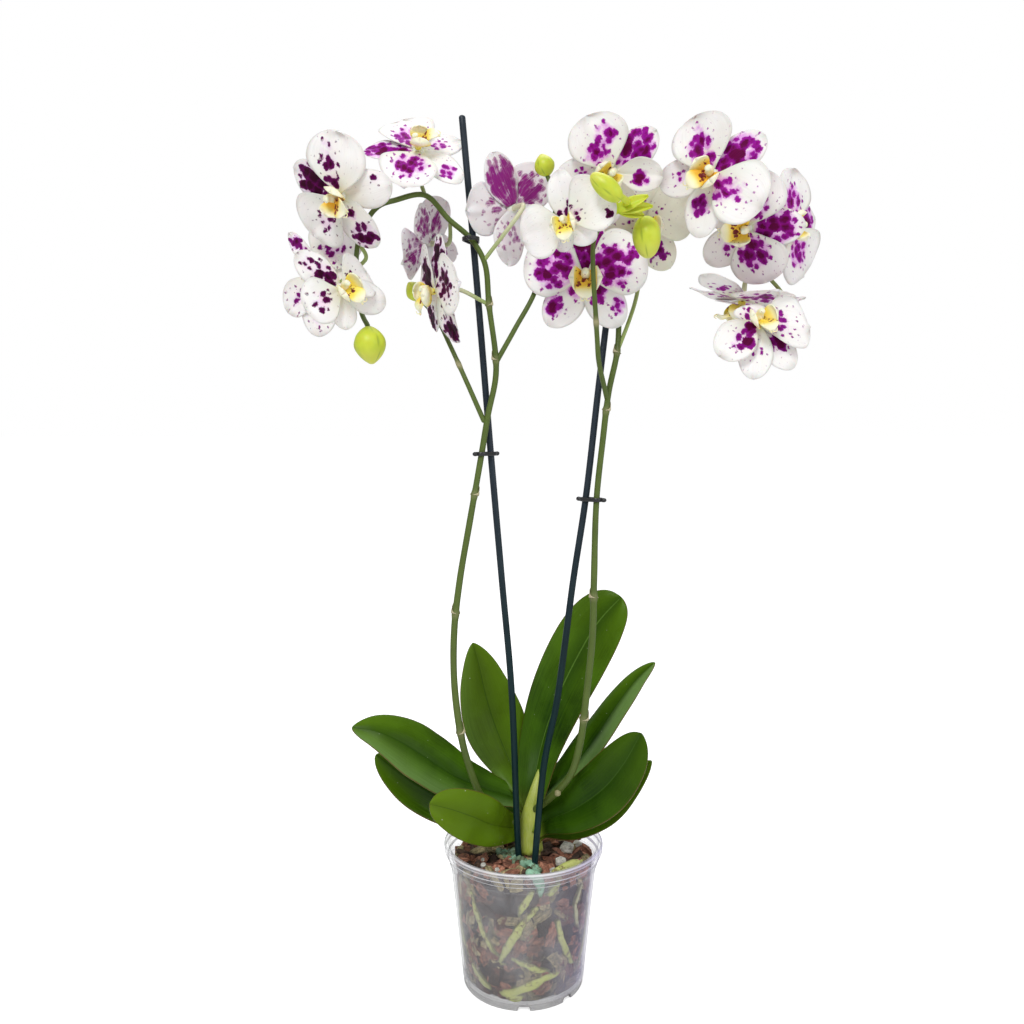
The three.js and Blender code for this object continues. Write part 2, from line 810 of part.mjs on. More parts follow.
// Bark mix: a filling that follows the pot's inside, with chips standing out of its top, and plain
// holes for the stakes, the crown and the roots
function makeBark() {
  const FOOT = FLOOR_Z + WALL + GAP;
  const outline = [
    [0, FOOT],
    [FOOT_RADIUS - 5, FOOT],
    [insideRadius(14) - GAP, 14],
    [insideRadius(BARK_TOP - 12) - GAP, BARK_TOP - 12],
    [insideRadius(BARK_TOP - 12) - GAP, BARK_TOP - 2],
    [insideRadius(BARK_TOP - 12) - 6, BARK_TOP],
    [0, BARK_TOP],
  ].map(([r, z]) => new THREE.Vector2(r, z));
  let bark = solidOf(new THREE.LatheGeometry(outline, 24).rotateX(Math.PI / 2));
  const draw = seeded(7);
  const GOLDEN = Math.PI * (3 - Math.sqrt(5));
  for (let k = 0; k < CHIP_COUNT; k++) {
    const reach = 12 + (insideRadius(86) - 22) * Math.sqrt((k + 0.5) / CHIP_COUNT);
    const chip = new THREE.BoxGeometry(10 + 8 * draw(), 6 + 5 * draw(), 5 + 3 * draw());
    chip.rotateX(0.9 * (draw() - 0.5));
    chip.rotateY(0.9 * (draw() - 0.5));
    chip.rotateZ(2 * Math.PI * draw());
    chip.translate(reach * Math.cos(k * GOLDEN), reach * Math.sin(k * GOLDEN), BARK_TOP - 0.5 + 2 * draw());
    bark = bark.add(solidOf(chip));
  }
  for (const side of ["left", "right"]) {
    const hole = stem(STAKES[side], () => STAKE_RADIUS + GAP, 1, 8);
    const floor = STAKES[side][0];
    const heel = new THREE.SphereGeometry(STAKE_RADIUS + GAP, 8, 4).translate(...floor.toArray());
    bark = bark.subtract(hole).subtract(solidOf(heel));
  }
  bark = bark.subtract(crownSolid(GAP));
  for (const root of ROOTS) bark = bark.subtract(rootSolid(root, ROOT_RADIUS + GAP));
  const whole = bark.decompose().sort((a, b) => b.volume() - a.volume())[0];
  return named("bark_mix", whole, COLOURS.bark, 0.9);
}

const orchid = new THREE.Group();
orchid.add(makePot());
orchid.add(makeBark());
for (const root of ROOTS) orchid.add(named(root.name, rootSolid(root, ROOT_RADIUS), COLOURS.root, 0.6));
orchid.add(named("crown", crownSolid(0), COLOURS.crown, 0.5));
for (const side of ["left", "right"]) orchid.add(makeStake(side), makeSpike(side));
for (const clip of CLIPS) orchid.add(makeClip(clip));
for (const leaf of LEAVES) orchid.add(makeLeaf(leaf));
BLOOMS.forEach((bloom, order) => orchid.add(makeBloom(bloom, order)));
makeBuds(orchid);

// The origin goes under the middle of the whole outline.
orchid.updateMatrixWorld(true);
const outline = new THREE.Box3().setFromObject(orchid, true);
const middle = outline.getCenter(new THREE.Vector3());
orchid.position.set(-middle.x, -middle.y, -outline.min.z);

export default orchid;
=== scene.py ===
"""A moth orchid in bloom in a clear nursery pot: the visual model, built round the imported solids.

Shapes are laid out in millimetres round the pot's axis, +Z up and -Y towards the viewer, and each
piece is turned into metres in the part's frame when its mesh is made.
"""

import random
from math import atan2, cos, exp, hypot, pi, radians, sin, sqrt

import bpy
from mathutils import Matrix, Vector, noise


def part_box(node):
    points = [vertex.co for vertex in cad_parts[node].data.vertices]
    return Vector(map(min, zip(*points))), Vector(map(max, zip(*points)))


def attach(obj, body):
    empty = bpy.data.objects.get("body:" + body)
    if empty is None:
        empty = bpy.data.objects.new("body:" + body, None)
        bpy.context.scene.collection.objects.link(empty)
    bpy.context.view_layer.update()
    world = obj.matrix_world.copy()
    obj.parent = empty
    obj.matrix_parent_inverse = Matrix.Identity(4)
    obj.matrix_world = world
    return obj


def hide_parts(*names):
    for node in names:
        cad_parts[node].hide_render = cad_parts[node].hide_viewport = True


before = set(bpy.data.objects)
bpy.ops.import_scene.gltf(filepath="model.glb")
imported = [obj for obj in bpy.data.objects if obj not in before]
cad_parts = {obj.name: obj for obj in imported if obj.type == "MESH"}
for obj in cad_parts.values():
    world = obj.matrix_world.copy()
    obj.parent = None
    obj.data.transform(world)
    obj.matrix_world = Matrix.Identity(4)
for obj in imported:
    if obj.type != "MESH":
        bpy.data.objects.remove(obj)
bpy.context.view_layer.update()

MM = 0.001
POT_LOW, POT_HIGH = (Vector(corner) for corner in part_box("pot"))
AXIS = Vector(((POT_LOW.x + POT_HIGH.x) / 2, (POT_LOW.y + POT_HIGH.y) / 2, 0.0))
FULL_TURN = 2 * pi
STRAIGHT = Matrix.Identity(3)

# Meshes


def polar(radius, angle, z):
    return Vector((radius * cos(angle), radius * sin(angle), z))


def spin(angle, axis):
    return Matrix.Rotation(angle, 3, axis)


def hill(offset, reach):
    """A smooth hill: one at no offset, close to nothing at twice its reach."""
    return exp(-((offset / reach) ** 2))


def draw_three(rng, low, high):
    return [rng.uniform(low, high) for _ in "xyz"]


def link(name, data):
    """A new object with this mesh, lamp or camera, linked to the scene."""
    thing = bpy.data.objects.new(name, data)
    bpy.context.scene.collection.objects.link(thing)
    return thing


class Shape:
    """Vertices in millimetres, faces, and named vectors on the vertices that the materials read."""

    def __init__(self):
        self.verts = []
        self.faces = []
        self.values = {}

    def add(self, verts, faces, shares=(), **values):
        """Adds a mesh, with vectors under names.

        Each is one vector for all the vertices, a list with one for each, or a function of their shares.
        """
        start = len(self.verts)
        self.verts.extend(tuple(v) for v in verts)
        self.faces.extend(tuple(start + i for i in face) for face in faces)
        for key in {**self.values, **values}:
            column = self.values.setdefault(key, [(0.0, 0.0, 0.0)] * start)
            given = values.get(key, (0.0, 0.0, 0.0))
            if callable(given):
                given = [given(*share) for share in shares]
            column.extend(given if isinstance(given, list) else [given] * len(verts))

    def make(self, name, material, node, smooth=True):
        """Makes the piece that replaces a node of the part."""
        mesh = bpy.data.meshes.new(name)
        places = [(AXIS.x + x * MM, AXIS.y + y * MM, z * MM) for x, y, z in self.verts]
        mesh.from_pydata(places, [], self.faces)
        mesh.polygons.foreach_set("use_smooth", [smooth] * len(mesh.polygons))
        for key, column in self.values.items():
            layer = mesh.attributes.new(key, "FLOAT_VECTOR", "POINT")
            layer.data.foreach_set("vector", [float(c) for vector in column for c in vector])
        mesh.materials.append(material)
        mesh.update()
        piece = link(name, mesh)
        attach(piece, "root")
        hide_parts(node)


class Curve:
    """A smooth centripetal curve through points, measured along its length."""

    def __init__(self, points, per_span=14):
        self.points = [Vector(p) for p in points]
        self.spans = len(self.points) - 1
        self.line = [self.at(i / (self.spans * per_span)) for i in range(self.spans * per_span + 1)]
        self.reach = [0.0]
        for a, b in zip(self.line, self.line[1:]):
            self.reach.append(self.reach[-1] + (b - a).length)
        self.length = self.reach[-1]

    def at(self, t):
        """The point at t from 0 to 1, with the same step of t for every span."""
        p = self.points
        k = min(int(t * self.spans), self.spans - 1)
        w = t * self.spans - k
        p1, p2 = p[k], p[k + 1]
        p0 = p[k - 1] if k > 0 else 2 * p1 - p2
        p3 = p[k + 2] if k + 2 <= self.spans else 2 * p2 - p1
        d0, d1, d2 = ((b - a).length ** 0.5 for a, b in ((p0, p1), (p1, p2), (p2, p3)))
        t1 = ((p1 - p0) / d0 - (p2 - p0) / (d0 + d1) + (p2 - p1) / d1) * d1
        t2 = ((p2 - p1) / d1 - (p3 - p1) / (d1 + d2) + (p3 - p2) / d2) * d1
        c2 = -3 * p1 + 3 * p2 - 2 * t1 - t2
        c3 = 2 * p1 - 2 * p2 + t1 + t2
        return p1 + t1 * w + c2 * w * w + c3 * w * w * w

    def along(self, s):
        """The point at share s of the length."""
        target = min(max(s, 0.0), 1.0) * self.length
        low, high = 0, len(self.reach) - 1
        while high - low > 1:
            middle = (low + high) // 2
            if self.reach[middle] <= target:
                low = middle
            else:
                high = middle
        span = self.reach[high] - self.reach[low]
        return self.line[low].lerp(self.line[high], (target - self.reach[low]) / span)

    def tangent(self, s):
        return (self.along(min(s + 0.01, 1)) - self.along(max(s - 0.01, 0))).normalized()


def ring_faces(rings, sides):
    """Quads from ring to ring, and a flat cap on the first ring and on the last."""
    faces = []
    for i in range(rings - 1):
        for k in range(sides):
            a, b = i * sides + k, i * sides + (k + 1) % sides
            faces.append((a, b, b + sides, a + sides))
    faces.append(tuple(reversed(range(sides))))
    faces.append(tuple((rings - 1) * sides + k for k in range(sides)))
    return faces


def lathe(profile, sides):
    """Turns (radius, z) stations round the pot's axis, closed at the first and the last of them."""
    verts = [polar(radius, FULL_TURN * k / sides, z) for radius, z in profile for k in range(sides)]
    return verts, ring_faces(len(profile), sides)


def tube(points, radius, stride=3.0, sides=12):
    """A round stem with rounded ends. radius is a number or a function of (share, point).

    The shares of its vertices are (share of the length, share of the way round).
    """
    curve = Curve(points)
    steps = max(3, round(curve.length / stride))
    bulge = [(0.35, 0.93), (0.7, 0.7), (0.95, 0.3)]
    stations = [(0.0, shrink, -out) for out, shrink in reversed(bulge)]
    stations += [(i / steps, 1.0, 0.0) for i in range(steps + 1)]
    stations += [(1.0, shrink, out) for out, shrink in bulge]
    normal = Vector((0.31, 0.95, 0.07))
    verts, shares = [], []
    for s, shrink, out in stations:
        centre, along = curve.along(s), curve.tangent(s)
        binormal = along.cross(normal).normalized()
        normal = binormal.cross(along)
        full = radius(s, centre) if callable(radius) else radius
        for k in range(sides):
            angle = FULL_TURN * k / sides
            side = normal * cos(angle) + binormal * sin(angle)
            verts.append(centre + along * (out * full) + side * (full * shrink))
            shares.append((s, k / sides))
    return verts, ring_faces(len(stations), sides), shares


def blade(rows, columns, place, thick):
    """A closed blade. place(s, v) is its middle surface, thick(s, v) half its thickness there.

    s goes from 0 to 1 along it and v from -1 to 1 across it. The shares of its vertices are
    (s, v, side), with side 1 above and -1 below.
    """
    grid = [[place(i / rows, 2 * j / columns - 1) for j in range(columns + 1)] for i in range(rows + 1)]
    above, below, shares = [], [], []
    for i in range(rows + 1):
        for j in range(columns + 1):
            a = grid[min(i + 1, rows)][j] - grid[max(i - 1, 0)][j]
            b = grid[i][min(j + 1, columns)] - grid[i][max(j - 1, 0)]
            if b.length < 1e-6:
                # A pointed end has no width of its own, so an earlier row says which way is across.
                b = grid[max(i - 2, 0)][columns] - grid[max(i - 2, 0)][0]
            normal = a.cross(b).normalized()
            s, v = i / rows, 2 * j / columns - 1
            half = thick(s, v)
            above.append(grid[i][j] + normal * half)
            below.append(grid[i][j] - normal * half)
            shares.append((s, v, 1.0))
    shares += [(s, v, -1.0) for s, v, _ in shares]
    n = columns + 1
    under = len(above)
    faces = []
    for i in range(rows):
        for j in range(columns):
            a, b, c, d = i * n + j, (i + 1) * n + j, (i + 1) * n + j + 1, i * n + j + 1
            faces.append((a, b, c, d))
            faces.append((a + under, d + under, c + under, b + under))
    for i in range(rows):
        a, b = i * n, (i + 1) * n
        faces.append((b, a, a + under, b + under))
        a, b = i * n + columns, (i + 1) * n + columns
        faces.append((a, b, b + under, a + under))
    for a in range(columns):
        faces.append((a, a + 1, a + 1 + under, a + under))
        b = rows * n + a
        faces.append((b + 1, b, b + under, b + 1 + under))
    return above + below, faces, shares


def lump(centre, size, turn, rng, rough=0.06, boxy=2.2, rings=8, sides=14):
    """A pebble with an uneven seeded skin: boxy 2 is a ball, and higher values are squared off."""
    verts, faces = [], []
    shift = Vector(draw_three(rng, -50, 50))
    for i in range(rings + 1):
        theta = pi * i / rings
        around = 1 if i in (0, rings) else sides
        for k in range(around):
            phi = FULL_TURN * k / sides
            d = Vector((sin(theta) * cos(phi), sin(theta) * sin(phi), cos(theta)))
            norm = sum(abs(c) ** boxy for c in d) ** (1 / boxy)
            bump = 1 + rough * noise.noise(d * 1.7 + shift) + rough * 0.5 * noise.noise(d * 4.3 + shift)
            p = Vector((d.x * size[0], d.y * size[1], d.z * size[2])) * (bump / norm / 2)
            verts.append(Vector(centre) + turn @ p)
    for k in range(sides):
        faces.append((0, 1 + k, 1 + (k + 1) % sides))
    for i in range(1, rings - 1):
        a, b = 1 + (i - 1) * sides, 1 + i * sides
        for k in range(sides):
            n = (k + 1) % sides
            faces.append((a + k, b + k, b + n, a + n))
    last = 1 + (rings - 2) * sides
    for k in range(sides):
        faces.append((last + (k + 1) % sides, last + k, len(verts) - 1))
    return verts, faces


# Materials


class Shader:
    """A procedural material. Plain values go straight on the Principled sockets."""

    def __init__(self, name, **plain):
        self.material = bpy.data.materials.new(name)
        self.material.use_nodes = True
        self.tree = self.material.node_tree
        self.bsdf = self.tree.nodes["Principled BSDF"]
        self.set(**plain)

    def set(self, **values):
        """Gives sockets of the Principled node a value or a link."""
        for name, value in values.items():
            self.put(self.bsdf.inputs[name.replace("_", " ")], value)

    def put(self, socket, value):
        if isinstance(value, bpy.types.NodeSocket):
            self.tree.links.new(value, socket)
        elif socket.type == "RGBA":
            socket.default_value = (*value, 1.0)
        else:
            socket.default_value = value

    def node(self, kind, settings=None, **inputs):
        """A node with its settings, and its inputs by name or, as i0, i1 and so on, by number."""
        made = self.tree.nodes.new("ShaderNode" + kind)
        for key, value in (settings or {}).items():
            setattr(made, key, value)
        for key, value in inputs.items():
            index = int(key[1:]) if key[0] == "i" and key[1:].isdigit() else key.replace("_", " ")
            self.put(made.inputs[index], value)
        return made

    def math(self, operation, a, b=0.0, c=0.0, clamp=False):
        made = self.node("Math", {"operation": operation, "use_clamp": clamp}, i0=a, i1=b, i2=c)
        return made.outputs[0]

    def times(self, a, b):
        return self.math("MULTIPLY", a, b)

    def plus(self, a, b):
        return self.math("ADD", a, b)

    def vector(self, operation, a, b):
        return self.node("VectorMath", {"operation": operation}, i0=a, i1=b).outputs["Vector"]

    def scaled(self, vector, factor):
        return self.node("VectorMath", {"operation": "SCALE"}, i0=vector, Scale=factor).outputs["Vector"]

    def mix(self, factor, a, b, blend="MIX"):
        made = self.node("Mix", {"data_type": "RGBA", "blend_type": blend}, i0=factor, i6=a, i7=b)
        return made.outputs[2]

    def read(self, name):
        """The vector that the vertices carry under a name."""
        return self.node("Attribute", {"attribute_name": name}).outputs["Vector"]

    def parts(self, vector):
        """The three parts of a vector, or of the one that the vertices carry under a name."""
        if isinstance(vector, str):
            vector = self.read(vector)
        return tuple(self.node("SeparateXYZ", i0=vector).outputs)

    def object_mm(self):
        return self.scaled(self.node("TexCoord").outputs["Object"], 1000.0)

    def noise(self, vector, scale, detail=3.0, roughness=0.5, output="Fac"):
        made = self.node("TexNoise", Vector=vector, Scale=scale, Detail=detail, Roughness=roughness)
        return made.outputs[output]

    def ragged(self, vector, source, scale, roughness, reach):
        """A vector shifted by noise, by half the reach at most in each direction."""
        shift = self.noise(source, scale, 1.0, roughness, "Color")
        shift = self.vector("SUBTRACT", shift, (0.5, 0.5, 0.5))
        return self.vector("ADD", vector, self.scaled(shift, reach))

    def cells(self, vector, scale, dimensions="3D", smooth=None):
        settings = {"feature": "F1" if smooth is None else "SMOOTH_F1", "voronoi_dimensions": dimensions}
        made = self.node("TexVoronoi", settings, Vector=vector, Scale=scale)
        if smooth is not None:
            made.inputs["Smoothness"].default_value = smooth
        return made.outputs

    def step(self, value, low, high, to_low=0.0, to_high=1.0):
        settings = {"interpolation_type": "SMOOTHSTEP"}
        made = self.node("MapRange", settings, i0=value, i1=low, i2=high, i3=to_low, i4=to_high)
        return made.outputs[0]

    def stretch(self, vector, scale):
        return self.vector("MULTIPLY", vector, scale)

    def bump(self, height, strength, distance_mm):
        made = self.node("Bump", Strength=strength, Distance=distance_mm * MM, Height=height)
        self.set(Normal=made.outputs[0])

    def finish(self, colour, roughness):
        self.set(Base_Color=colour, Roughness=roughness)
        return self.material


def tepal_material():
    """White with magenta blotches where the vertices carry a dose of them.

    It is painted greenish grey towards the base and darker grey along the rim, painted shade. flat is the
    place on the tepal. dose holds (amount, back, flecks), vein (across, along, seed) and tint (darkness,
    ivory, halo).
    """
    sh = Shader("tepal", Subsurface_Weight=0.12, Subsurface_Scale=0.003, Sheen_Weight=0.01,
                Specular_IOR_Level=0.07)
    flat = sh.read("flat")
    dose = sh.parts("dose")
    tint = sh.parts("tint")
    vein = sh.read("vein")
    across, along, _ = sh.parts(vein)
    bent = sh.ragged(flat, flat, 0.22, 0.4, 3.0)
    bent = sh.ragged(bent, flat, 0.75, 0.5, 2.2)
    bent = sh.stretch(bent, (1.0, 0.78, 1.0))
    fans = sh.noise(sh.stretch(vein, (26.0, 2.0, 1.0)), 1.0, 4.0, 0.6)
    cells = sh.cells(bent, 0.2, dimensions="2D", smooth=0.45)
    chance = sh.parts(cells["Color"])[0]
    amount = sh.times(dose[0], sh.math("MULTIPLY_ADD", chance, 0.9, 0.5))
    deep = sh.math("SUBTRACT", amount, cells["Distance"])
    small = sh.cells(bent, 0.34, dimensions="2D")
    fleck_chance = sh.parts(small["Color"])[1]
    fleck = sh.math("SUBTRACT", sh.times(dose[2], fleck_chance), small["Distance"])
    body = sh.step(deep, -0.09, 0.08)
    heart = sh.step(sh.math("MULTIPLY_ADD", cells["Distance"], -0.9, amount), 0.12, 0.66)
    dots = sh.step(fleck, 0.0, 0.08)
    mark = sh.math("MAXIMUM", body, dots)
    cloud = sh.noise(flat, 0.07, 3.0)
    white = sh.mix(cloud, (0.88, 0.835, 0.82), (0.96, 0.945, 0.925))
    # Painted shade: greenish grey towards the base of the tepal, in the middle of the bloom.
    white = sh.mix(sh.step(along, 0.05, 0.7, 0.7, 0.0), white, (0.76, 0.77, 0.66))
    white = sh.mix(sh.step(fans, 0.42, 0.8, 0.0, 0.4), white, (0.78, 0.76, 0.73))
    # Painted shade: the rim of the tepal is painted darker grey.
    border = sh.math("MAXIMUM", sh.math("ABSOLUTE", across), along)
    white = sh.mix(sh.step(border, 0.84, 1.0, 0.0, 0.55), white, (0.60, 0.58, 0.54))
    ivory = sh.mix(cloud, (0.62, 0.64, 0.44), (0.84, 0.83, 0.68))
    white = sh.mix(tint[1], white, ivory)
    near = sh.times(sh.step(deep, -0.55, -0.05), sh.step(dose[0], 0.15, 0.5))
    white = sh.mix(sh.times(near, tint[2]), white, (0.72, 0.26, 0.74))
    throat = sh.step(along, 0.0, 0.15, 0.5, 0.0)
    white = sh.mix(throat, white, (0.70, 0.74, 0.38))
    vivid_fringe = sh.mix(fans, (0.44, 0.014, 0.45), (0.26, 0.004, 0.23))
    vivid_core = sh.mix(fans, (0.21, 0.001, 0.088), (0.055, 0.0004, 0.022))
    dark_fringe = sh.mix(fans, (0.090, 0.001, 0.050), (0.048, 0.0005, 0.026))
    dark_core = sh.mix(fans, (0.024, 0.0003, 0.010), (0.010, 0.0001, 0.004))
    fringe = sh.mix(tint[0], vivid_fringe, dark_fringe)
    core = sh.mix(tint[0], vivid_core, dark_core)
    front = sh.mix(mark, white, sh.mix(heart, fringe, core))
    shown = sh.times(sh.plus(mark, heart), sh.step(fans, 0.36, 0.64, 0.9, 0.42))
    paper = sh.mix(sh.step(dose[0], 0.1, 0.9, 0.05, 0.4), (0.82, 0.79, 0.79), (0.62, 0.38, 0.58))
    back = sh.mix(shown, paper, (0.26, 0.02, 0.20))
    colour = sh.mix(dose[1], front, back)
    fine = sh.noise(flat, 2.2, 2.0)
    sh.bump(sh.math("MULTIPLY_ADD", fine, 0.3, fans), 0.6, 0.35)
    return sh.finish(colour, sh.step(fans, 0.2, 0.8, 0.45, 0.62))


def lip_material():
    """Cream to orange lip with red-brown marks. tone holds (yellow, marks, orange)."""
    sh = Shader("lip", Subsurface_Weight=0.12, Subsurface_Scale=0.002, Specular_IOR_Level=0.3)
    flat = sh.read("flat")
    tone = sh.parts("tone")
    cells = sh.cells(sh.ragged(flat, flat, 0.5, 0.5, 2.0), 0.3)
    chance = sh.parts(cells["Color"])[0]
    deep = sh.times(tone[1], sh.plus(chance, 0.22))
    deep = sh.math("SUBTRACT", deep, cells["Distance"])
    mark = sh.step(deep, -0.02, 0.16)
    soft = sh.noise(flat, 0.35, 3.0)
    cream = sh.mix(soft, (0.93, 0.91, 0.77), (0.93, 0.88, 0.58))
    yellow = sh.mix(soft, (0.92, 0.84, 0.16), (0.92, 0.74, 0.07))
    orange = sh.mix(soft, (0.92, 0.52, 0.04), (0.88, 0.32, 0.01))
    deep_yellow = sh.times(tone[2], sh.step(tone[0], 0.35, 0.9))
    base = sh.mix(sh.step(tone[0], 0.2, 0.75), cream, sh.mix(deep_yellow, yellow, orange))
    brown = sh.mix(soft, (0.28, 0.035, 0.02), (0.11, 0.006, 0.02))
    colour = sh.mix(mark, base, brown)
    sh.bump(sh.noise(flat, 1.6, 3.0), 0.3, 0.2)
    return sh.finish(colour, sh.step(soft, 0.2, 0.8, 0.32, 0.5))


def leaf_material():
    """Waxy green with fine veins along the leaf, a pale base, a brown edge and a paler underside.

    grid holds (share of the length, across, side) and tone (young, rib, painted_sheen), with painted_sheen
    a painted sheen: one side of the midrib painted paler, as if light fell on it.
    """
    sh = Shader("leaf", Coat_Weight=0.03, Coat_Roughness=0.2, Specular_IOR_Level=0.07)
    grid = sh.read("grid")
    s, v, side = sh.parts(grid)
    tone = sh.parts("tone")
    place = sh.object_mm()
    veins = sh.noise(sh.stretch(grid, (3.0, 30.0, 1.0)), 1.0, 4.0, 0.6)
    blot = sh.step(sh.noise(place, 0.022, 3.0, 0.5), 0.36, 0.64)
    dark = sh.mix(blot, (0.006, 0.026, 0.001), (0.044, 0.115, 0.002))
    dark = sh.mix(sh.step(s, 0.4, 1.0, 0.0, 0.7), dark, (0.085, 0.170, 0.003))
    green = sh.mix(sh.step(veins, 0.35, 0.75, 0.0, 0.45), dark, (0.072, 0.160, 0.006))
    across = sh.math("ABSOLUTE", v)
    beside = sh.step(across, 0.02, 0.6, 0.5, 0.0)
    green = sh.mix(beside, green, (0.010, 0.040, 0.002))
    green = sh.mix(sh.step(tone[0], -1.0, 0.0, 0.7, 0.0), green, (0.014, 0.045, 0.002))
    green = sh.mix(tone[0], green, (0.13, 0.21, 0.006))
    # Painted sheen: one side of the midrib is painted a paler grey-green, standing in for light falling on
    # it.
    painted_sheen = sh.step(sh.times(v, tone[2]), 0.02, 0.6, 0.0, 0.75)
    green = sh.mix(painted_sheen, green, sh.mix(veins, (0.10, 0.20, 0.035), (0.18, 0.29, 0.10)))
    rib = sh.step(across, 0.0, 0.04, 0.6, 0.0)
    green = sh.mix(rib, green, sh.mix(tone[1], (0.012, 0.045, 0.003), (0.16, 0.30, 0.05)))
    base = sh.step(s, 0.02, 0.17, 0.85, 0.0)
    green = sh.mix(base, green, (0.30, 0.42, 0.045))
    under = sh.mix(veins, (0.075, 0.16, 0.03), (0.14, 0.25, 0.06))
    green = sh.mix(sh.step(side, -0.2, 0.2, 1.0, 0.0), green, under)
    edge = sh.step(across, 0.965, 0.995, 0.0, 0.8)
    green = sh.mix(edge, green, (0.13, 0.085, 0.02))
    specks = sh.cells(place, 0.2)
    speck = sh.step(specks["Distance"], 0.05, 0.09, 1.0, 0.0)
    rare = sh.math("GREATER_THAN", sh.parts(specks["Color"])[0], 0.72)
    speck = sh.times(sh.times(speck, rare), sh.plus(tone[0], 0.3))
    green = sh.mix(speck, green, (0.62, 0.66, 0.50))
    height = sh.math("MULTIPLY_ADD", sh.noise(place, 0.5, 3.0), 0.4, veins)
    sh.bump(height, 0.3, 0.3)
    return sh.finish(green, sh.step(blot, 0.3, 0.7, 0.26, 0.4))


def stem_material():
    """Olive green with fine streaks, a brown blush and pale tan joints.

    mark holds (share, around, paleness), with a paleness over one for the dry scales.
    """
    sh = Shader("spike", Coat_Weight=0.04, Coat_Roughness=0.3, Specular_IOR_Level=0.3)
    mark = sh.read("mark")
    pale = sh.parts(mark)[2]
    place = sh.object_mm()
    streaks = sh.noise(sh.stretch(mark, (8.0, 30.0, 0.0)), 1.0, 3.0, 0.6)
    blot = sh.noise(place, 0.05, 4.0)
    green = sh.mix(blot, (0.048, 0.082, 0.011), (0.115, 0.175, 0.028))
    green = sh.mix(sh.step(streaks, 0.4, 0.7, 0.0, 0.45), green, (0.100, 0.095, 0.032))
    dots = sh.cells(place, 0.8)["Distance"]
    green = sh.mix(sh.step(dots, 0.05, 0.16, 0.3, 0.0), green, (0.22, 0.26, 0.10))
    tan = sh.mix(streaks, (0.50, 0.46, 0.28), (0.36, 0.29, 0.15))
    colour = sh.mix(pale, green, tan)
    dry = sh.mix(streaks, (0.62, 0.58, 0.38), (0.42, 0.36, 0.20))
    colour = sh.mix(sh.step(pale, 1.0, 1.2), colour, dry)
    sh.bump(sh.plus(streaks, sh.noise(place, 0.9, 2.0)), 0.3, 0.25)
    return sh.finish(colour, sh.step(blot, 0.3, 0.7, 0.38, 0.52))


def stalk_material():
    """Green at the spike, cream towards the bloom. mark holds (share, around, paleness)."""
    sh = Shader("stalk", Subsurface_Weight=0.1, Subsurface_Scale=0.002)
    mark = sh.read("mark")
    share, _, pale = sh.parts(mark)
    streaks = sh.noise(sh.stretch(mark, (5.0, 24.0, 0.0)), 1.0, 3.0)
    green = sh.mix(streaks, (0.20, 0.29, 0.06), (0.34, 0.42, 0.13))
    cream = sh.mix(streaks, (0.60, 0.62, 0.36), (0.70, 0.68, 0.50))
    colour = sh.mix(sh.step(sh.plus(share, pale), 0.25, 1.2), green, cream)
    sh.bump(streaks, 0.3, 0.2)
    return sh.finish(colour, sh.step(streaks, 0.2, 0.8, 0.38, 0.5))


def bud_material():
    """Plump yellow-green with a paler tip and a darker seam, painted shade in the grooves. mark holds
    (share, seam).
    """
    sh = Shader("bud", Subsurface_Weight=0.2, Subsurface_Scale=0.004, Coat_Weight=0.08, Coat_Roughness=0.3)
    share, seam, _ = sh.parts("mark")
    place = sh.object_mm()
    blot = sh.noise(place, 0.14, 3.0)
    green = sh.mix(blot, (0.44, 0.55, 0.015), (0.66, 0.72, 0.05))
    green = sh.mix(sh.step(share, 0.55, 1.0, 0.0, 0.5), green, (0.72, 0.70, 0.14))
    # Painted shade: the seams are painted darker where the grooves between the sepals sink in.
    green = sh.mix(sh.step(seam, 0.3, 1.0, 0.0, 0.65), green, (0.22, 0.33, 0.012))
    sh.bump(sh.noise(place, 0.9, 3.0), 0.25, 0.3)
    return sh.finish(green, sh.step(blot, 0.3, 0.7, 0.34, 0.5))


def crown_material():
    """Fresh green, mottled and streaked along the stem, browner where mark's third part says so."""
    sh = Shader("crown", Coat_Weight=0.1, Coat_Roughness=0.3)
    pale = sh.parts("mark")[2]
    place = sh.object_mm()
    blot = sh.noise(place, 0.09, 4.0)
    streaks = sh.noise(sh.stretch(place, (1.6, 1.6, 0.12)), 1.0, 4.0)
    green = sh.mix(blot, (0.22, 0.31, 0.02), (0.55, 0.60, 0.09))
    green = sh.mix(sh.step(streaks, 0.4, 0.7, 0.0, 0.6), green, (0.50, 0.55, 0.18))
    colour = sh.mix(pale, green, (0.30, 0.22, 0.10))
    sh.bump(sh.plus(streaks, blot), 0.4, 0.5)
    return sh.finish(colour, sh.step(blot, 0.3, 0.7, 0.34, 0.5))


def stake_material():
    """A plastic-coated stake: blue-black, greener towards the foot, faintly ribbed and scuffed.

    mark holds (share, around).
    """
    sh = Shader("stake", Coat_Weight=0.02, Coat_Roughness=0.25, Specular_IOR_Level=0.16)
    mark = sh.read("mark")
    place = sh.object_mm()
    blot = sh.noise(place, 0.05, 4.0)
    height = sh.parts(place)[2]
    upper = sh.mix(blot, (0.011, 0.017, 0.025), (0.032, 0.044, 0.058))
    lower = sh.mix(blot, (0.0015, 0.013, 0.014), (0.005, 0.028, 0.030))
    colour = sh.mix(sh.step(height, 160.0, 420.0), lower, upper)
    scuff = sh.noise(sh.stretch(mark, (60.0, 9.0, 0.0)), 1.0, 5.0, 0.7)
    colour = sh.mix(sh.step(scuff, 0.62, 0.8, 0.0, 0.3), colour, (0.07, 0.10, 0.11))
    rib = sh.math("SINE", sh.times(sh.parts(mark)[1], 2 * pi * 9))
    sh.bump(sh.math("MULTIPLY_ADD", rib, 0.5, scuff), 0.35, 0.2)
    return sh.finish(colour, sh.step(scuff, 0.3, 0.8, 0.3, 0.5))


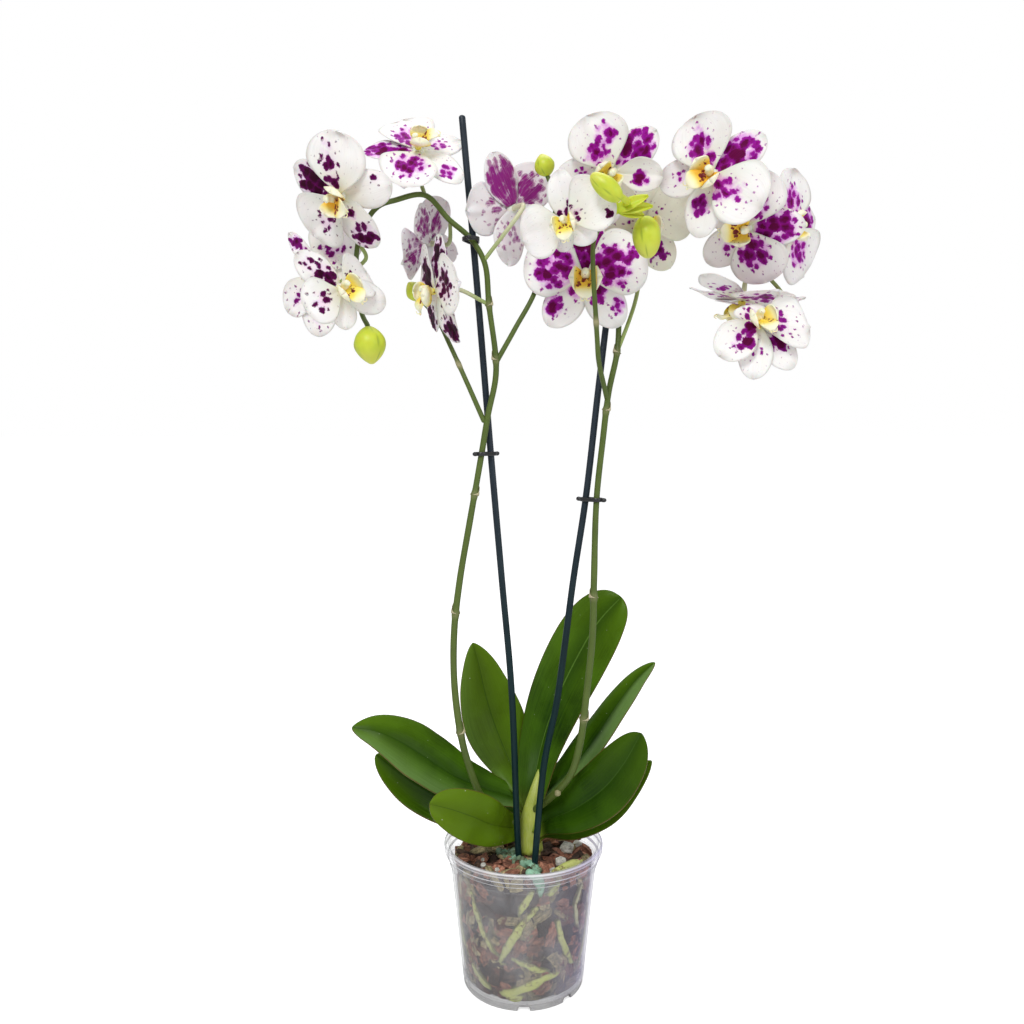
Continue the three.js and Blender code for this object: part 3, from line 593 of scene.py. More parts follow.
def clip_material():
    """Black plastic with a fine grain."""
    sh = Shader("clip", Coat_Weight=0.1, Coat_Roughness=0.3)
    place = sh.object_mm()
    grain = sh.noise(place, 1.4, 3.0)
    colour = sh.mix(grain, (0.006, 0.006, 0.007), (0.022, 0.022, 0.024))
    sh.bump(grain, 0.25, 0.1)
    return sh.finish(colour, sh.step(grain, 0.3, 0.7, 0.26, 0.42))


def pot_material():
    """Thin clear plastic, a little milky, denser at the rim, the steps and the foot.

    mark holds (milk, foot), with foot at one for the parts below the raised floor, which are painted dark
    grey, painted shade for the dark bark seen through the foot by refraction.
    """
    sh = Shader("pot", Coat_Weight=0.2, Coat_Roughness=0.1, Specular_IOR_Level=0.5)
    mark = sh.parts("mark")
    place = sh.object_mm()
    haze = sh.noise(sh.stretch(place, (1.0, 1.0, 0.5)), 0.035, 4.0, 0.6)
    streak = sh.noise(sh.stretch(place, (1.0, 1.0, 0.08)), 0.25, 3.0, 0.6)
    drops = sh.cells(place, 0.16)
    drop = sh.step(drops["Distance"], 0.04, 0.09, 0.22, 0.0)
    drop = sh.times(drop, sh.math("GREATER_THAN", sh.parts(drops["Color"])[0], 0.8))
    milk = sh.plus(mark[0], sh.step(haze, 0.35, 0.7, 0.0, 0.12))
    milk = sh.plus(milk, sh.step(streak, 0.5, 0.8, 0.0, 0.02))
    grazing = sh.node("LayerWeight", Blend=0.35).outputs["Facing"]
    milk = sh.plus(milk, sh.step(grazing, 0.4, 1.0, 0.0, 0.5))
    milk = sh.math("ADD", milk, drop, clamp=True)
    tint = sh.mix(haze, (0.56, 0.56, 0.60), (0.74, 0.74, 0.76))
    tint = sh.mix(sh.step(mark[0], 0.25, 0.65), tint, (0.86, 0.85, 0.88))
    violet = sh.step(sh.parts(place)[0], -10.0, 35.0, 0.0, 0.95)
    tint = sh.mix(sh.times(violet, haze), tint, (0.36, 0.28, 0.72))
    # Painted shade: the foot is painted dark grey, standing in for the dark bark seen through it.
    foot = sh.times(mark[1], 0.9)
    tint = sh.mix(foot, tint, (0.22, 0.21, 0.21))
    sh.set(Alpha=milk)
    sh.bump(haze, 0.05, 0.4)
    return sh.finish(tint, sh.step(haze, 0.3, 0.7, 0.14, 0.26))


def bark_material():
    """Fibrous chips. hue holds (kind, lightness), with kind 0 red-brown, 0.5 dark, 1 olive and 2 white."""
    sh = Shader("bark", Specular_IOR_Level=0.3)
    hue = sh.parts("hue")
    grain = sh.read("grain")
    fibre = sh.step(sh.noise(sh.stretch(grain, (0.12, 0.8, 0.8)), 1.0, 5.0, 0.7), 0.25, 0.75)
    blot = sh.noise(grain, 0.22, 4.0, 0.6)
    red = sh.mix(fibre, (0.085, 0.030, 0.018), (0.38, 0.175, 0.115))
    dark = sh.mix(fibre, (0.008, 0.005, 0.004), (0.110, 0.065, 0.045))
    olive = sh.mix(fibre, (0.090, 0.070, 0.030), (0.46, 0.38, 0.21))
    white = sh.mix(fibre, (0.50, 0.48, 0.42), (0.72, 0.70, 0.64))
    colour = sh.mix(sh.step(hue[0], 0.1, 0.4), red, dark)
    colour = sh.mix(sh.step(hue[0], 0.6, 0.9), colour, olive)
    colour = sh.mix(sh.step(hue[0], 1.4, 1.6), colour, white)
    shade = sh.math("MULTIPLY_ADD", hue[1], 0.95, 0.56)
    both = sh.times(shade, sh.step(blot, 0.25, 0.75, 0.45, 1.35))
    grey = sh.node("CombineXYZ", i0=both, i1=both, i2=both).outputs[0]
    colour = sh.mix(1.0, colour, grey, blend="MULTIPLY")
    sh.bump(sh.math("MULTIPLY_ADD", blot, 0.6, fibre), 0.8, 0.9)
    return sh.finish(colour, sh.step(fibre, 0.3, 0.7, 0.62, 0.9))


def root_material():
    """Fleshy roots under a thin silvery skin, and mint-green moss.

    mark's second part holds the depth behind the wall, which paints the root darker as painted shade on
    its sides away from the wall, and its third the greenness, 2 for moss.
    """
    sh = Shader("root", Coat_Weight=0.1, Coat_Roughness=0.3)
    mark = sh.parts("mark")
    place = sh.object_mm()
    blot = sh.noise(place, 0.12, 4.0, 0.6)
    fine = sh.noise(place, 0.8, 3.0)
    silver = sh.mix(blot, (0.36, 0.34, 0.22), (0.60, 0.58, 0.44))
    green = sh.mix(blot, (0.34, 0.40, 0.06), (0.66, 0.68, 0.22))
    colour = sh.mix(mark[2], silver, green)
    mint = sh.mix(blot, (0.16, 0.42, 0.27), (0.42, 0.68, 0.50))
    colour = sh.mix(sh.step(mark[2], 1.2, 1.8), colour, mint)
    stain = sh.step(sh.noise(place, 0.22, 4.0, 0.7), 0.52, 0.64, 0.0, 0.85)
    colour = sh.mix(stain, colour, (0.14, 0.09, 0.03))
    colour = sh.mix(sh.step(fine, 0.58, 0.75, 0.0, 0.4), colour, (0.26, 0.26, 0.07))
    # Painted shade: darker with depth behind the wall, so the sides of a root away from the wall look
    # shaded.
    colour = sh.mix(sh.step(mark[1], 0.08, 0.55, 0.0, 0.85), colour, (0.09, 0.085, 0.02))
    sh.bump(sh.plus(fine, blot), 0.4, 0.4)
    return sh.finish(colour, sh.step(blot, 0.3, 0.7, 0.42, 0.6))


TEPAL, LIP, LEAF = tepal_material(), lip_material(), leaf_material()
STEM, STALK, BUD, CROWN = stem_material(), stalk_material(), bud_material(), crown_material()
STAKE, CLIP = stake_material(), clip_material()
POT, BARK, ROOT = pot_material(), bark_material(), root_material()

# Pot

POT_HEIGHT = 109.0
RIM_RADIUS = 60.0
SHOULDER_RADIUS = 55.5
FOOT_RADIUS = 45.5
WALL = 1.3
LIP_HEIGHT = 7.0
FLOOR_Z = 5.0
BARK_TOP = 98.0
NOTCH_HEIGHT = 3.4
NOTCH_HALF_TURN = 0.1
NOTCH_DEGREES = (-180, -90, -45, 0, 90, 135, 180)


def inside_radius(z):
    """The inside radius of the pot at a height."""
    share = (z - 8) / (POT_HEIGHT - LIP_HEIGHT - 16)
    return FOOT_RADIUS + 0.8 - WALL + share * (SHOULDER_RADIUS - 1.6 - FOOT_RADIUS)


def make_pot():
    """The shell, turned from stations (radius, height, milkiness): up the outside, then down inside."""
    foot, shoulder, rim, top = FOOT_RADIUS, SHOULDER_RADIUS, RIM_RADIUS, POT_HEIGHT
    step = top - LIP_HEIGHT
    floor_in = FLOOR_Z + WALL
    outer = [
        (0.6, FLOOR_Z, 0.3), (12, FLOOR_Z, 0.25), (foot - 5, FLOOR_Z, 0.25),
        (foot - 3.4, FLOOR_Z - 1.2, 0.5), (foot - 3, 1, 0.5), (foot - 2.4, 0, 0.5), (foot - 0.6, 0, 0.5),
        (foot, 0.8, 0.4), (foot + 0.5, 4.8, 0.3), (foot + 0.7, 5.4, 0.6), (foot + 0.8, 6, 0.12),
        (foot + 3.2, 30, 0.09), (foot + 6, 60, 0.09), (shoulder - 1.1, step - 15, 0.1),
        (shoulder - 0.6, step - 9.2, 0.1), (shoulder - 0.2, step - 8.7, 0.26),
        (shoulder + 0.6, step - 8, 0.26), (shoulder + 0.75, step - 7.5, 0.1),
        (shoulder + 0.9, step - 4.1, 0.12), (shoulder + 1.1, step - 3.8, 0.7),
        (shoulder + 1.9, step - 3.1, 0.7), (shoulder + 2.4, step - 2.7, 0.12),
        (rim - 0.95, step + 0.1, 0.14), (rim - 0.7, step + 0.4, 0.7), (rim - 0.4, step + 1.0, 0.7),
        (rim - 0.3, step + 1.4, 0.16), (rim - 0.15, top - 3.2, 0.14), (rim - 0.1, top - 2.8, 0.5),
        (rim - 0.05, top - 2.2, 0.5), (rim, top - 1.4, 0.22), (rim - 0.2, top - 0.6, 0.75),
        (rim - 0.6, top - 0.1, 0.8), (rim - 1.1, top, 0.6), (rim - 1.9, top - 0.1, 0.25),
    ]
    inner = [
        (shoulder + 1.9, top - 0.1, 0.25), (shoulder + 1.2, top - 0.3, 0.5),
        (shoulder + 0.7, top - 1.2, 0.16), (shoulder - 0.6, step - 2, 0.1),
        (shoulder - WALL - 0.8, step - 8, 0.1), (inside_radius(60), 60, 0.08),
        (inside_radius(30), 30, 0.08), (inside_radius(8), 8, 0.1),
        (foot - 0.7 - WALL, floor_in + 0.5, 0.12), (foot - 1.6 - WALL, floor_in, 0.2), (0.6, floor_in, 0.2),
    ]
    sides = 240
    verts, faces = lathe([(radius, z) for radius, z, _ in outer + inner], sides)
    marks = []
    for _, z, milk in outer + inner:
        marks += [(milk, 1.0 if z < FLOOR_Z + 0.5 else 0.0, 0.0)] * sides
    notches = [radians(degrees) for degrees in NOTCH_DEGREES]
    for i, v in enumerate(verts):
        turn = atan2(v.y, v.x)
        away = min(abs(turn - notch) for notch in notches)
        if v.z < NOTCH_HEIGHT and v.xy.length > foot - 4 and away < NOTCH_HALF_TURN:
            verts[i] = Vector((v.x, v.y, NOTCH_HEIGHT + 0.3 * v.z / NOTCH_HEIGHT))
    shape = Shape()
    shape.add(verts, faces, mark=marks)
    shape.make("pot_shell", POT, "pot")


# Bark mix and roots

WALL_CHIPS = 460
TOP_CHIPS = 170
GOLDEN_SHARE = 0.6180339
GOLDEN_TURN = pi * (3 - sqrt(5))
CORE_HEIGHTS = [6.6, 6.9, 12, 20, 30, 40, 50, 60, 70, 80, 88, 93]

# White bits among the chips on top: turn in degrees, distance from the axis, height and size.
PALE_BITS = [
    (-116, 44, 104, 3.4), (-49, 41, 106, 8), (-63, 46, 104, 5), (-132, 44, 104, 4), (-150, 35, 101, 3),
    (-98, 46, 101, 2.4), (0, 33, 102, 10), (8, 42, 102, 7), (40, 30, 101, 4), (150, 42, 101, 3),
]


def keep_inside(p, clear):
    """Moves a point of the filling back inside the pot's wall and above its floor."""
    z = max(p.z, FLOOR_Z + WALL + 0.3)
    limit = inside_radius(min(z, BARK_TOP + 3)) - clear
    reach = hypot(p.x, p.y)
    factor = min(1.0, limit / reach) if reach > 0 else 1.0
    return Vector((p.x * factor, p.y * factor, z))


def add_chip(shape, rng, centre, size, turn, kind, light, rough=0.36, boxy=5.0, rings=6, sides=8):
    """A chip whose grain runs along its own length."""
    verts, faces = lump(centre, size, turn, rng, rough, boxy, rings, sides)
    back = turn.inverted()
    shift = Vector(draw_three(rng, -90, 90))
    grain = [tuple(back @ (v - Vector(centre)) + shift) for v in verts]
    shape.add([keep_inside(v, 1.4) for v in verts], faces, hue=(kind, light, 0.0), grain=grain)


def chip_kind(rng):
    """Draws a chip's kind and its lightness."""
    roll = rng.random()
    if roll < 0.42:
        return 0.0, rng.uniform(0.0, 1.1)
    if roll < 0.72:
        return 0.5, rng.uniform(0.0, 1.1)
    return 1.0, rng.uniform(0.0, 1.2)


def add_core(shape):
    """The dark inside of the filling, which the chips lie on: its dark colour is painted shade in the gaps.
    """
    side = [(inside_radius(max(z, 8)) - 3.2, z) for z in CORE_HEIGHTS]
    verts, faces = lathe([(0.5, 6.6), *side, (30, 94.5), (0.5, 95)], 72)
    uneven = []
    for v in verts:
        swell = 1 + 0.03 * noise.noise(v * 0.2) if v.z > 7 else 1.0
        uneven.append(Vector((v.x * swell, v.y * swell, v.z)))
    # Dark bark colour, painted shade where the core shows between the chips.
    shape.add(uneven, faces, hue=(0.5, 0.25, 0.0), grain=[tuple(v) for v in verts])


def make_bark():
    """The filling: flat chips along the wall, loose ones on top, and a few white bits."""
    rng = random.Random(11)
    shape = Shape()
    add_core(shape)
    low, high = 7.5, BARK_TOP - 7
    for k in range(WALL_CHIPS):
        z = low + (high - low) * ((k * GOLDEN_SHARE) % 1.0)
        angle = rng.uniform(0, FULL_TURN)
        size = (rng.uniform(9, 25), rng.uniform(5, 12), rng.uniform(3, 5.5))
        centre = polar(inside_radius(z) - rng.uniform(2.8, 5.0), angle, z)
        flat = spin(rng.uniform(0, pi), "Z")
        outward = spin(angle, "Z") @ spin(pi / 2, "Y")
        turn = outward @ spin(rng.uniform(-0.4, 0.4), "X") @ spin(rng.uniform(-0.4, 0.4), "Y") @ flat
        add_chip(shape, rng, centre, size, turn, *chip_kind(rng))
    for k in range(TOP_CHIPS):
        reach = (inside_radius(BARK_TOP) - 4) * sqrt((k + 0.5) / TOP_CHIPS)
        centre = polar(reach, k * GOLDEN_TURN, BARK_TOP - 3.5 + rng.uniform(-1.5, 4.5))
        size = (rng.uniform(8, 20), rng.uniform(5, 11), rng.uniform(3, 7))
        turn = spin(rng.uniform(0, FULL_TURN), "Z") @ spin(rng.uniform(-0.8, 0.8), "X")
        turn = turn @ spin(rng.uniform(-0.7, 0.7), "Y")
        kind, light = chip_kind(rng)
        add_chip(shape, rng, centre, size, turn, kind, light + 0.55)
    for degrees, reach, z, size in PALE_BITS:
        centre = polar(reach, radians(degrees), z)
        bit = (size, size * 0.9, size * 0.8)
        add_chip(shape, rng, centre, bit, STRAIGHT, 2.0, 0.6, rough=0.3, boxy=2.2, rings=8, sides=12)
    shape.make("bark_chips", BARK, "bark_mix", smooth=False)


# Roots behind the wall: stops (turn in degrees, height), radius and greenness. MORE_ROOTS have no node of
# their own and are part of root_front's piece.
ROOTS = [
    ("root_front_left", [(-138, 84), (-134, 70), (-128, 57), (-119, 44), (-113, 40)], 2.4, 0.8),
    ("root_front", [(-80, 80), (-86, 74), (-92, 67), (-99, 57), (-106, 46), (-112, 36), (-101, 35)],
     2.9, 0.85),
    ("root_front_low", [(-108, 13), (-98, 14), (-82, 20), (-66, 24), (-50, 25)], 3.6, 1.0),
    ("root_right", [(-60, 66), (-56, 52), (-48, 40), (-42, 30), (-32, 24)], 2.6, 0.9),
]
MORE_ROOTS = [
    ([(-66, 106), (-58, 107.5), (-48, 108), (-36, 106)], 2.6, 0.95),
    ([(-86, 107), (-80, 104), (-77, 97), (-77, 88)], 3.4, 2.0),
    ([(-100, 40), (-88, 36), (-76, 31), (-66, 28)], 2.3, 0.9),
    ([(-84, 92), (-88, 86), (-92, 80), (-94, 74)], 2.6, 1.0),
    ([(-146, 24), (-138, 18), (-130, 14), (-122, 12)], 2.5, 0.7),
    ([(-112, 12), (-106, 10), (-98, 9.5), (-90, 10)], 3.2, 1.0),
    ([(-62, 96), (-66, 92), (-72, 90)], 2.8, 0.95),
    ([(-36, 88), (-42, 74), (-38, 60), (-30, 50)], 2.0, 0.3),
    ([(-160, 70), (-168, 52), (-160, 34), (-150, 26)], 2.5, 0.6),
    ([(-20, 74), (-12, 56), (-16, 38), (-26, 18)], 2.4, 0.5),
    ([(20, 84), (34, 62), (30, 44), (42, 24)], 2.5, 0.6),
    ([(70, 80), (88, 66), (84, 44), (100, 28)], 2.3, 0.5),
    ([(120, 88), (132, 66), (128, 48), (142, 30)], 2.6, 0.7),
    ([(170, 60), (184, 40), (178, 24), (196, 14)], 2.3, 0.8),
    ([(60, 22), (80, 16), (104, 14), (122, 20)], 2.7, 0.9),
]

# Clumps of moss on the bark: middle, spacing and number of lumps.
MOSS = [
    ((-13, -10, 101.5), 6.0, 11),
    ((-4, -18, 101), 5.0, 9),
    ((3, -24, 101), 4.0, 7),
    ((8, -33, 101.5), 4.5, 9),
]


def add_root(shape, stops, radius, green, seed):
    """A root that runs along the inside of the wall, a little uneven and swaying."""
    route = []
    for (turn, z), (next_turn, next_z) in zip(stops, stops[1:]):
        route += [(turn + (next_turn - turn) * w, z + (next_z - z) * w) for w in (0, 1 / 3, 2 / 3)]
    route.append(stops[-1])
    points = []
    for k, (turn, z) in enumerate(route):
        sway = noise.noise(Vector((k * 0.7, seed * 3.1, 0)))
        reach = inside_radius(z) - radius * 0.92 - 0.2 - 0.4 * abs(sway)
        points.append(polar(reach, radians(turn), z + 1.6 * sway))

    def swell(s, p):
        uneven = 1 + 0.22 * noise.noise(p * 0.16 + Vector((seed, 0, 0)))
        return radius * uneven * (0.62 + 0.55 * sin(pi * (0.12 + 0.76 * s))) * (1 - 0.5 * s ** 6)

    verts, faces, _ = tube(points, swell, 2.0, 16)
    verts = [keep_inside(v, 0.25) for v in verts]
    marks = []
    for v in verts:
        # The depth behind the wall, which the root material turns into painted shade.
        depth = (inside_radius(v.z) - hypot(v.x, v.y)) / radius if v.z < BARK_TOP else 0.0
        marks.append((0.0, depth, green))
    shape.add(verts, faces, mark=marks)


def add_moss(shape):
    """Clumps of mint-green moss at the feet of the stakes."""
    rng = random.Random(41)
    for centre, spacing, count in MOSS:
        for _ in range(count):
            away = Vector(draw_three(rng, -spacing, spacing))
            size = draw_three(rng, 2.5, 7.0)
            turn = spin(rng.uniform(0.0, 3.0), "Z")
            place = Vector(centre) + Vector((away.x, away.y * 0.6, away.z * 0.25))
            verts, faces = lump(place, size, turn, rng, rough=0.6, sides=12)
            shape.add(verts, faces, mark=(0.0, rng.uniform(0.0, 0.5), 2.0))


def make_roots():
    for seed, (name, *root) in enumerate(ROOTS):
        shape = Shape()
        add_root(shape, *root, seed)
        if name == "root_front":
            for more, extra in enumerate(MORE_ROOTS):
                add_root(shape, *extra, 20 + more)
            add_moss(shape)
        shape.make(name + "_flesh", ROOT, name)


# Crown, stakes, clips

CROWN_AT = Vector((5.0, 0.0, 0.0))
CROWN_PROFILE = [
    (6, 71), (7.5, 84), (9.6, 96), (10.0, 100), (9.3, 104), (9.5, 109), (8.9, 112), (9.1, 118), (8.3, 121),
    (7.8, 127), (6.5, 131), (5.6, 136), (4.2, 141), (2.9, 146), (1.6, 149.4), (0.5, 150),
]


def make_crown():
    """The knobbly stem between the leaves, and the pale sheath that wraps its top."""
    verts, faces = lathe(CROWN_PROFILE, 28)
    placed, marks = [], []
    for v in verts:
        wave = 1 + 0.07 * noise.noise(v * 0.12) + 0.03 * sin(3 * atan2(v.y, v.x) + v.z * 0.15)
        lean = 5.0 * (max(0.0, v.z - 114) / 36) ** 1.5
        placed.append(Vector((v.x * wave + lean, v.y * wave, v.z)) + CROWN_AT)
        marks.append((0.0, 0.0, max(0.0, min(0.7, (104 - v.z) / 9))))
    shape = Shape()
    shape.add(placed, faces, mark=marks)
    spine = Curve([(3.5, -0.5, 102), (4, -0.5, 118), (6, -0.5, 134), (9.5, 3, 150), (13, 9, 163)], 30)

    def sheath(s, v):
        half = 10.2 * (1 - 0.5 * s) * (1 - s ** 4) ** 0.6 + 0.3
        angle = 1.25 * v * (1 - 0.45 * s)
        keel = 1.2 * hill(v, 0.12) * (1 - s)
        return spine.along(s) + Vector((half * sin(angle), -half * cos(angle) - keel, 0.0))

    shape.add(*blade(26, 18, sheath, lambda s, v: 0.7 * (1 - 0.6 * abs(v) ** 4)))
    shape.make("crown_stem", CROWN, "crown")


STAKES = {
    "left": [(2, -17, 20), (-4, -16, 109), (-9, -12, 229), (-16, -8, 309), (-24, -4, 401), (-35, -1, 537),
             (-44, 2, 639)],
    "right": [(3, -31, 20), (8, -30, 105), (15, -26, 179), (24, -21, 222), (36, -12, 310), (45, -5.5, 368),
              (54, 1, 446), (60, 8, 494)],
}
STAKE_RADIUS = 2.4


def make_stakes():
    """The two rods, each with its rounded top flattened a little."""
    for side, route in STAKES.items():
        verts, faces, shares = tube(route, STAKE_RADIUS, 6.0, 24)
        blunt_from = max(v.z for v in verts) - 2.6
        verts = [Vector((v.x, v.y, v.z - max(0.0, v.z - blunt_from) * 0.25)) for v in verts]
        shape = Shape()
        shape.add(verts, faces, shares, mark=lambda s, k: (s * 9, k, 0.0))
        shape.make("stake_%s_rod" % side, STAKE, "stake_" + side)


def point_at_height(route, z):
    return next(p for p in Curve(route, 200).line[1:] if p.z >= z)


# Clips: name, side, height and how loosely the loop goes round the spike.
CLIPS = [
    ("clip_left_lower", "left", 401.0, 1.0),
    ("clip_left_upper", "left", 552.5, 2.6),
    ("clip_right", "right", 368.0, 1.0),
]
HALF_BAND = [(0.0, 1.15), (0.25, 1.4), (0.85, 1.4), (1.1, 1.15)]
BAND = HALF_BAND + [(step, -rise) for step, rise in reversed(HALF_BAND)]


def make_clip(name, side, z, slack):
    """A band round stake and spike, a grip at each end of it and a bar between the two."""
    stake = point_at_height(STAKES[side], z)
    spike = point_at_height(SPIKES[side]["main"], z)
    across = Vector((spike.x - stake.x, spike.y - stake.y, 0.0))
    apart = across.length
    across.normalize()
    beside = Vector((-across.y, across.x, 0.0))
    stake_loop, spike_loop = STAKE_RADIUS + 0.95, SPIKE_RADIUS + slack + 0.1
    loop = []
    for ahead, reach, start, steps in ((0.0, stake_loop, pi / 2, 20), (apart, spike_loop, -pi / 2, 19)):
        for k in range(steps + 1):
            angle = start + pi * k / steps
            loop.append(stake + across * (ahead + reach * cos(angle)) + beside * (reach * sin(angle)))
    verts, faces = [], []
    for p in loop:
        nearest = stake if (p - stake).dot(across) < apart / 2 else stake + across * apart
        out = Vector((p.x - nearest.x, p.y - nearest.y, 0.0)).normalized()
        verts += [Vector((p.x, p.y, z)) + out * step + Vector((0, 0, rise)) for step, rise in BAND]
    m = len(BAND)
    for i in range(len(loop)):
        n = (i + 1) % len(loop)
        for j in range(m):
            faces.append((i * m + j, n * m + j, n * m + (j + 1) % m, i * m + (j + 1) % m))
    shape = Shape()
    shape.add(verts, faces)
    rng = random.Random(3)
    turn = spin(atan2(across.y, across.x), "Z")
    for grip in (stake - across * (stake_loop + 2.6), stake + across * (apart + spike_loop + 2.6)):
        shape.add(*lump((grip.x, grip.y, z), (4.4, 3.4, 3.2), turn, rng, rough=0.05))
    middle = stake + across * (apart / 2)
    bar = [middle - beside * 2.2, middle + beside * 2.2]
    shape.add(*tube([(p.x, p.y, z) for p in bar], 1.0, 1.5, 10))
    shape.make(name + "_band", CLIP, name)


# Spikes: the main stem, its branches and the heights of its ringed joints.
SPIKES = {
    "left": {
        "main": [(1, -2, 124), (-9, -6, 125), (-21, -13, 134), (-31.5, -20, 151), (-41, -27, 180),
                 (-46, -30, 204), (-50, -28, 238), (-50, -25, 275), (-46, -22, 311), (-39, -17, 352),
                 (-31, -10.5, 398), (-26, -9, 428), (-20, -8, 460), (-25, -9, 507), (-28, -10, 536),
                 (-38, -9, 553), (-53, -9, 566), (-70, -8, 583), (-91, -10, 579), (-102, -11, 575),
                 (-111, -10, 565), (-117, -11, 550), (-118, -15, 533), (-116, -23, 515), (-112, -31, 498),
                 (-107.1, -38.5, 489.4)],
        "branches": [
            [(-29, -9, 425), (-41, -5, 452), (-53, 4, 478), (-65, 22, 501), (-75.9, 26, 514.2)],
            [(-19, -8, 468), (-6, -7, 491), (8, -5, 517), (15, -5, 546), (20, -8, 562), (22, -12, 577),
             (19, -13, 588), (16.3, -12, 594.7)],
        ],
        "joints": [202, 287, 372, 468, 507],
    },
    "right": {
        "main": [(8.5, -6.6, 135), (14, -14, 142), (25, -25, 157), (34, -32, 172), (40, -35, 196),
                 (45, -33, 235), (49, -27, 273), (50.3, -20, 311), (52.4, -11.5, 368), (57, -7, 411),
                 (61, -6, 445), (67, -4, 474), (69, 4, 498), (71, 16, 522), (77, 32, 552), (92, 40, 577),
                 (116, 26, 589), (137, 16, 587), (156, 16, 576), (172, 22, 558), (176, 24, 540),
                 (173, 22, 530)],
        "branches": [
            [(60, -6, 440), (52, -25, 466), (50, -34, 480), (48, -42, 498), (46, -46, 521), (46, -48, 544),
             (50, -50, 554)],
        ],
        "joints": [213, 299, 432, 474, 522],
    },
}
ON_LEFT_SPIKE = {"l1", "l2", "l3", "l4", "l5", "l6", "c0", "c2"}
SPIKE_RADIUS = 2.4
STALK_RADIUS = 1.45
PALE_STALKS = {"c0", "l4"}
RINGED_SHARE = 0.75
CUT_NODE = (24.6, -28.0, 156.0)


def spike_radius(s):
    return SPIKE_RADIUS * (1.12 - 0.42 * s)


def joint_swell(joints, z):
    return max((hill(z - joint, 2.4) for joint in joints), default=0.0)


def add_bract(shape, curve, z, side):
    """A dry papery scale: a ring round the joint that runs up to a point on one side."""
    share = next(r for r, p in zip(curve.reach, curve.line) if p.z >= z) / curve.length
    base = curve.along(share)
    up = curve.tangent(share)
    first = up.cross(Vector((side, -1.0, 0.1))).normalized()
    second = up.cross(first).normalized()

    def place(s, v):
        angle = v * (2.7 - 2.5 * s ** 0.6)
        rise = 7.0 * s - 0.8
        r = spike_radius(share) + 0.35 + 0.6 * hill(rise, 2.4) + 0.3 * s
        around = second * cos(angle) + first * sin(angle)
        return base + up * rise + around * r

    shape.add(*blade(8, 16, place, lambda s, v: 0.16), mark=lambda s, v, _: (s, v, 1.2))


def add_branch(shape, route):
    """A side branch, ringed once a little below its middle."""
    joint = (route[-1][2] - route[0][2]) * 0.45 + route[0][2]

    def radius(s, p):
        return 1.85 - 0.35 * s + 0.4 * joint_swell([joint], p.z)

    verts, faces, shares = tube(route, radius, 2.2, 14)
    marks = [(s * 12, k, 0.8 * joint_swell([joint], v.z)) for (s, k), v in zip(shares, verts)]
    shape.add(verts, faces, mark=marks)


def make_spike(side):
    """The stem with its branches and scales, and the stalks of its blooms in their own colour."""
    spec = SPIKES[side]
    shape = Shape()

    def swollen(s, z):
        return joint_swell(spec["joints"] if s < RINGED_SHARE else [], z)

    def main_radius(s, p):
        return spike_radius(s) * (1 + 0.05 * noise.noise(p * 0.05)) + 0.55 * swollen(s, p.z)

    verts, faces, shares = tube(spec["main"], main_radius, 2.4, 16)
    marks = [(s * 30, k, 0.25 * swollen(s, v.z)) for (s, k), v in zip(shares, verts)]
    shape.add(verts, faces, mark=marks)
    curve = Curve(spec["main"], 30)
    for order, z in enumerate(spec["joints"]):
        add_bract(shape, curve, z, 1.0 if order % 2 else -1.0)
    if side == "right":
        knob = lump(CUT_NODE, (4.8, 4.4, 4.8), STRAIGHT, random.Random(5), rough=0.08)
        shape.add(*knob, mark=(0.4, 0.2, 0.55))
    for route in spec["branches"]:
        add_branch(shape, route)
    shape.make("spike_%s_stem" % side, STEM, "spike_" + side)
    stalks = Shape()
    for bloom in BLOOMS:
        if (bloom["name"] in ON_LEFT_SPIKE) == (side == "left"):
            add_stalk(stalks, bloom)
    stalks.make("spike_%s_stalks" % side, STALK, "spike_" + side)


# Blooms

HUB_BACK = 4.0
PETAL_LENGTH, PETAL_WIDTH = 42.0, 44.0
SEPAL_LENGTH, SEPAL_WIDTH = 41.0, 26.5
PETAL_ANGLE, LATERAL_ANGLE = 18.0, -53.0
CLAW_START = 2.6

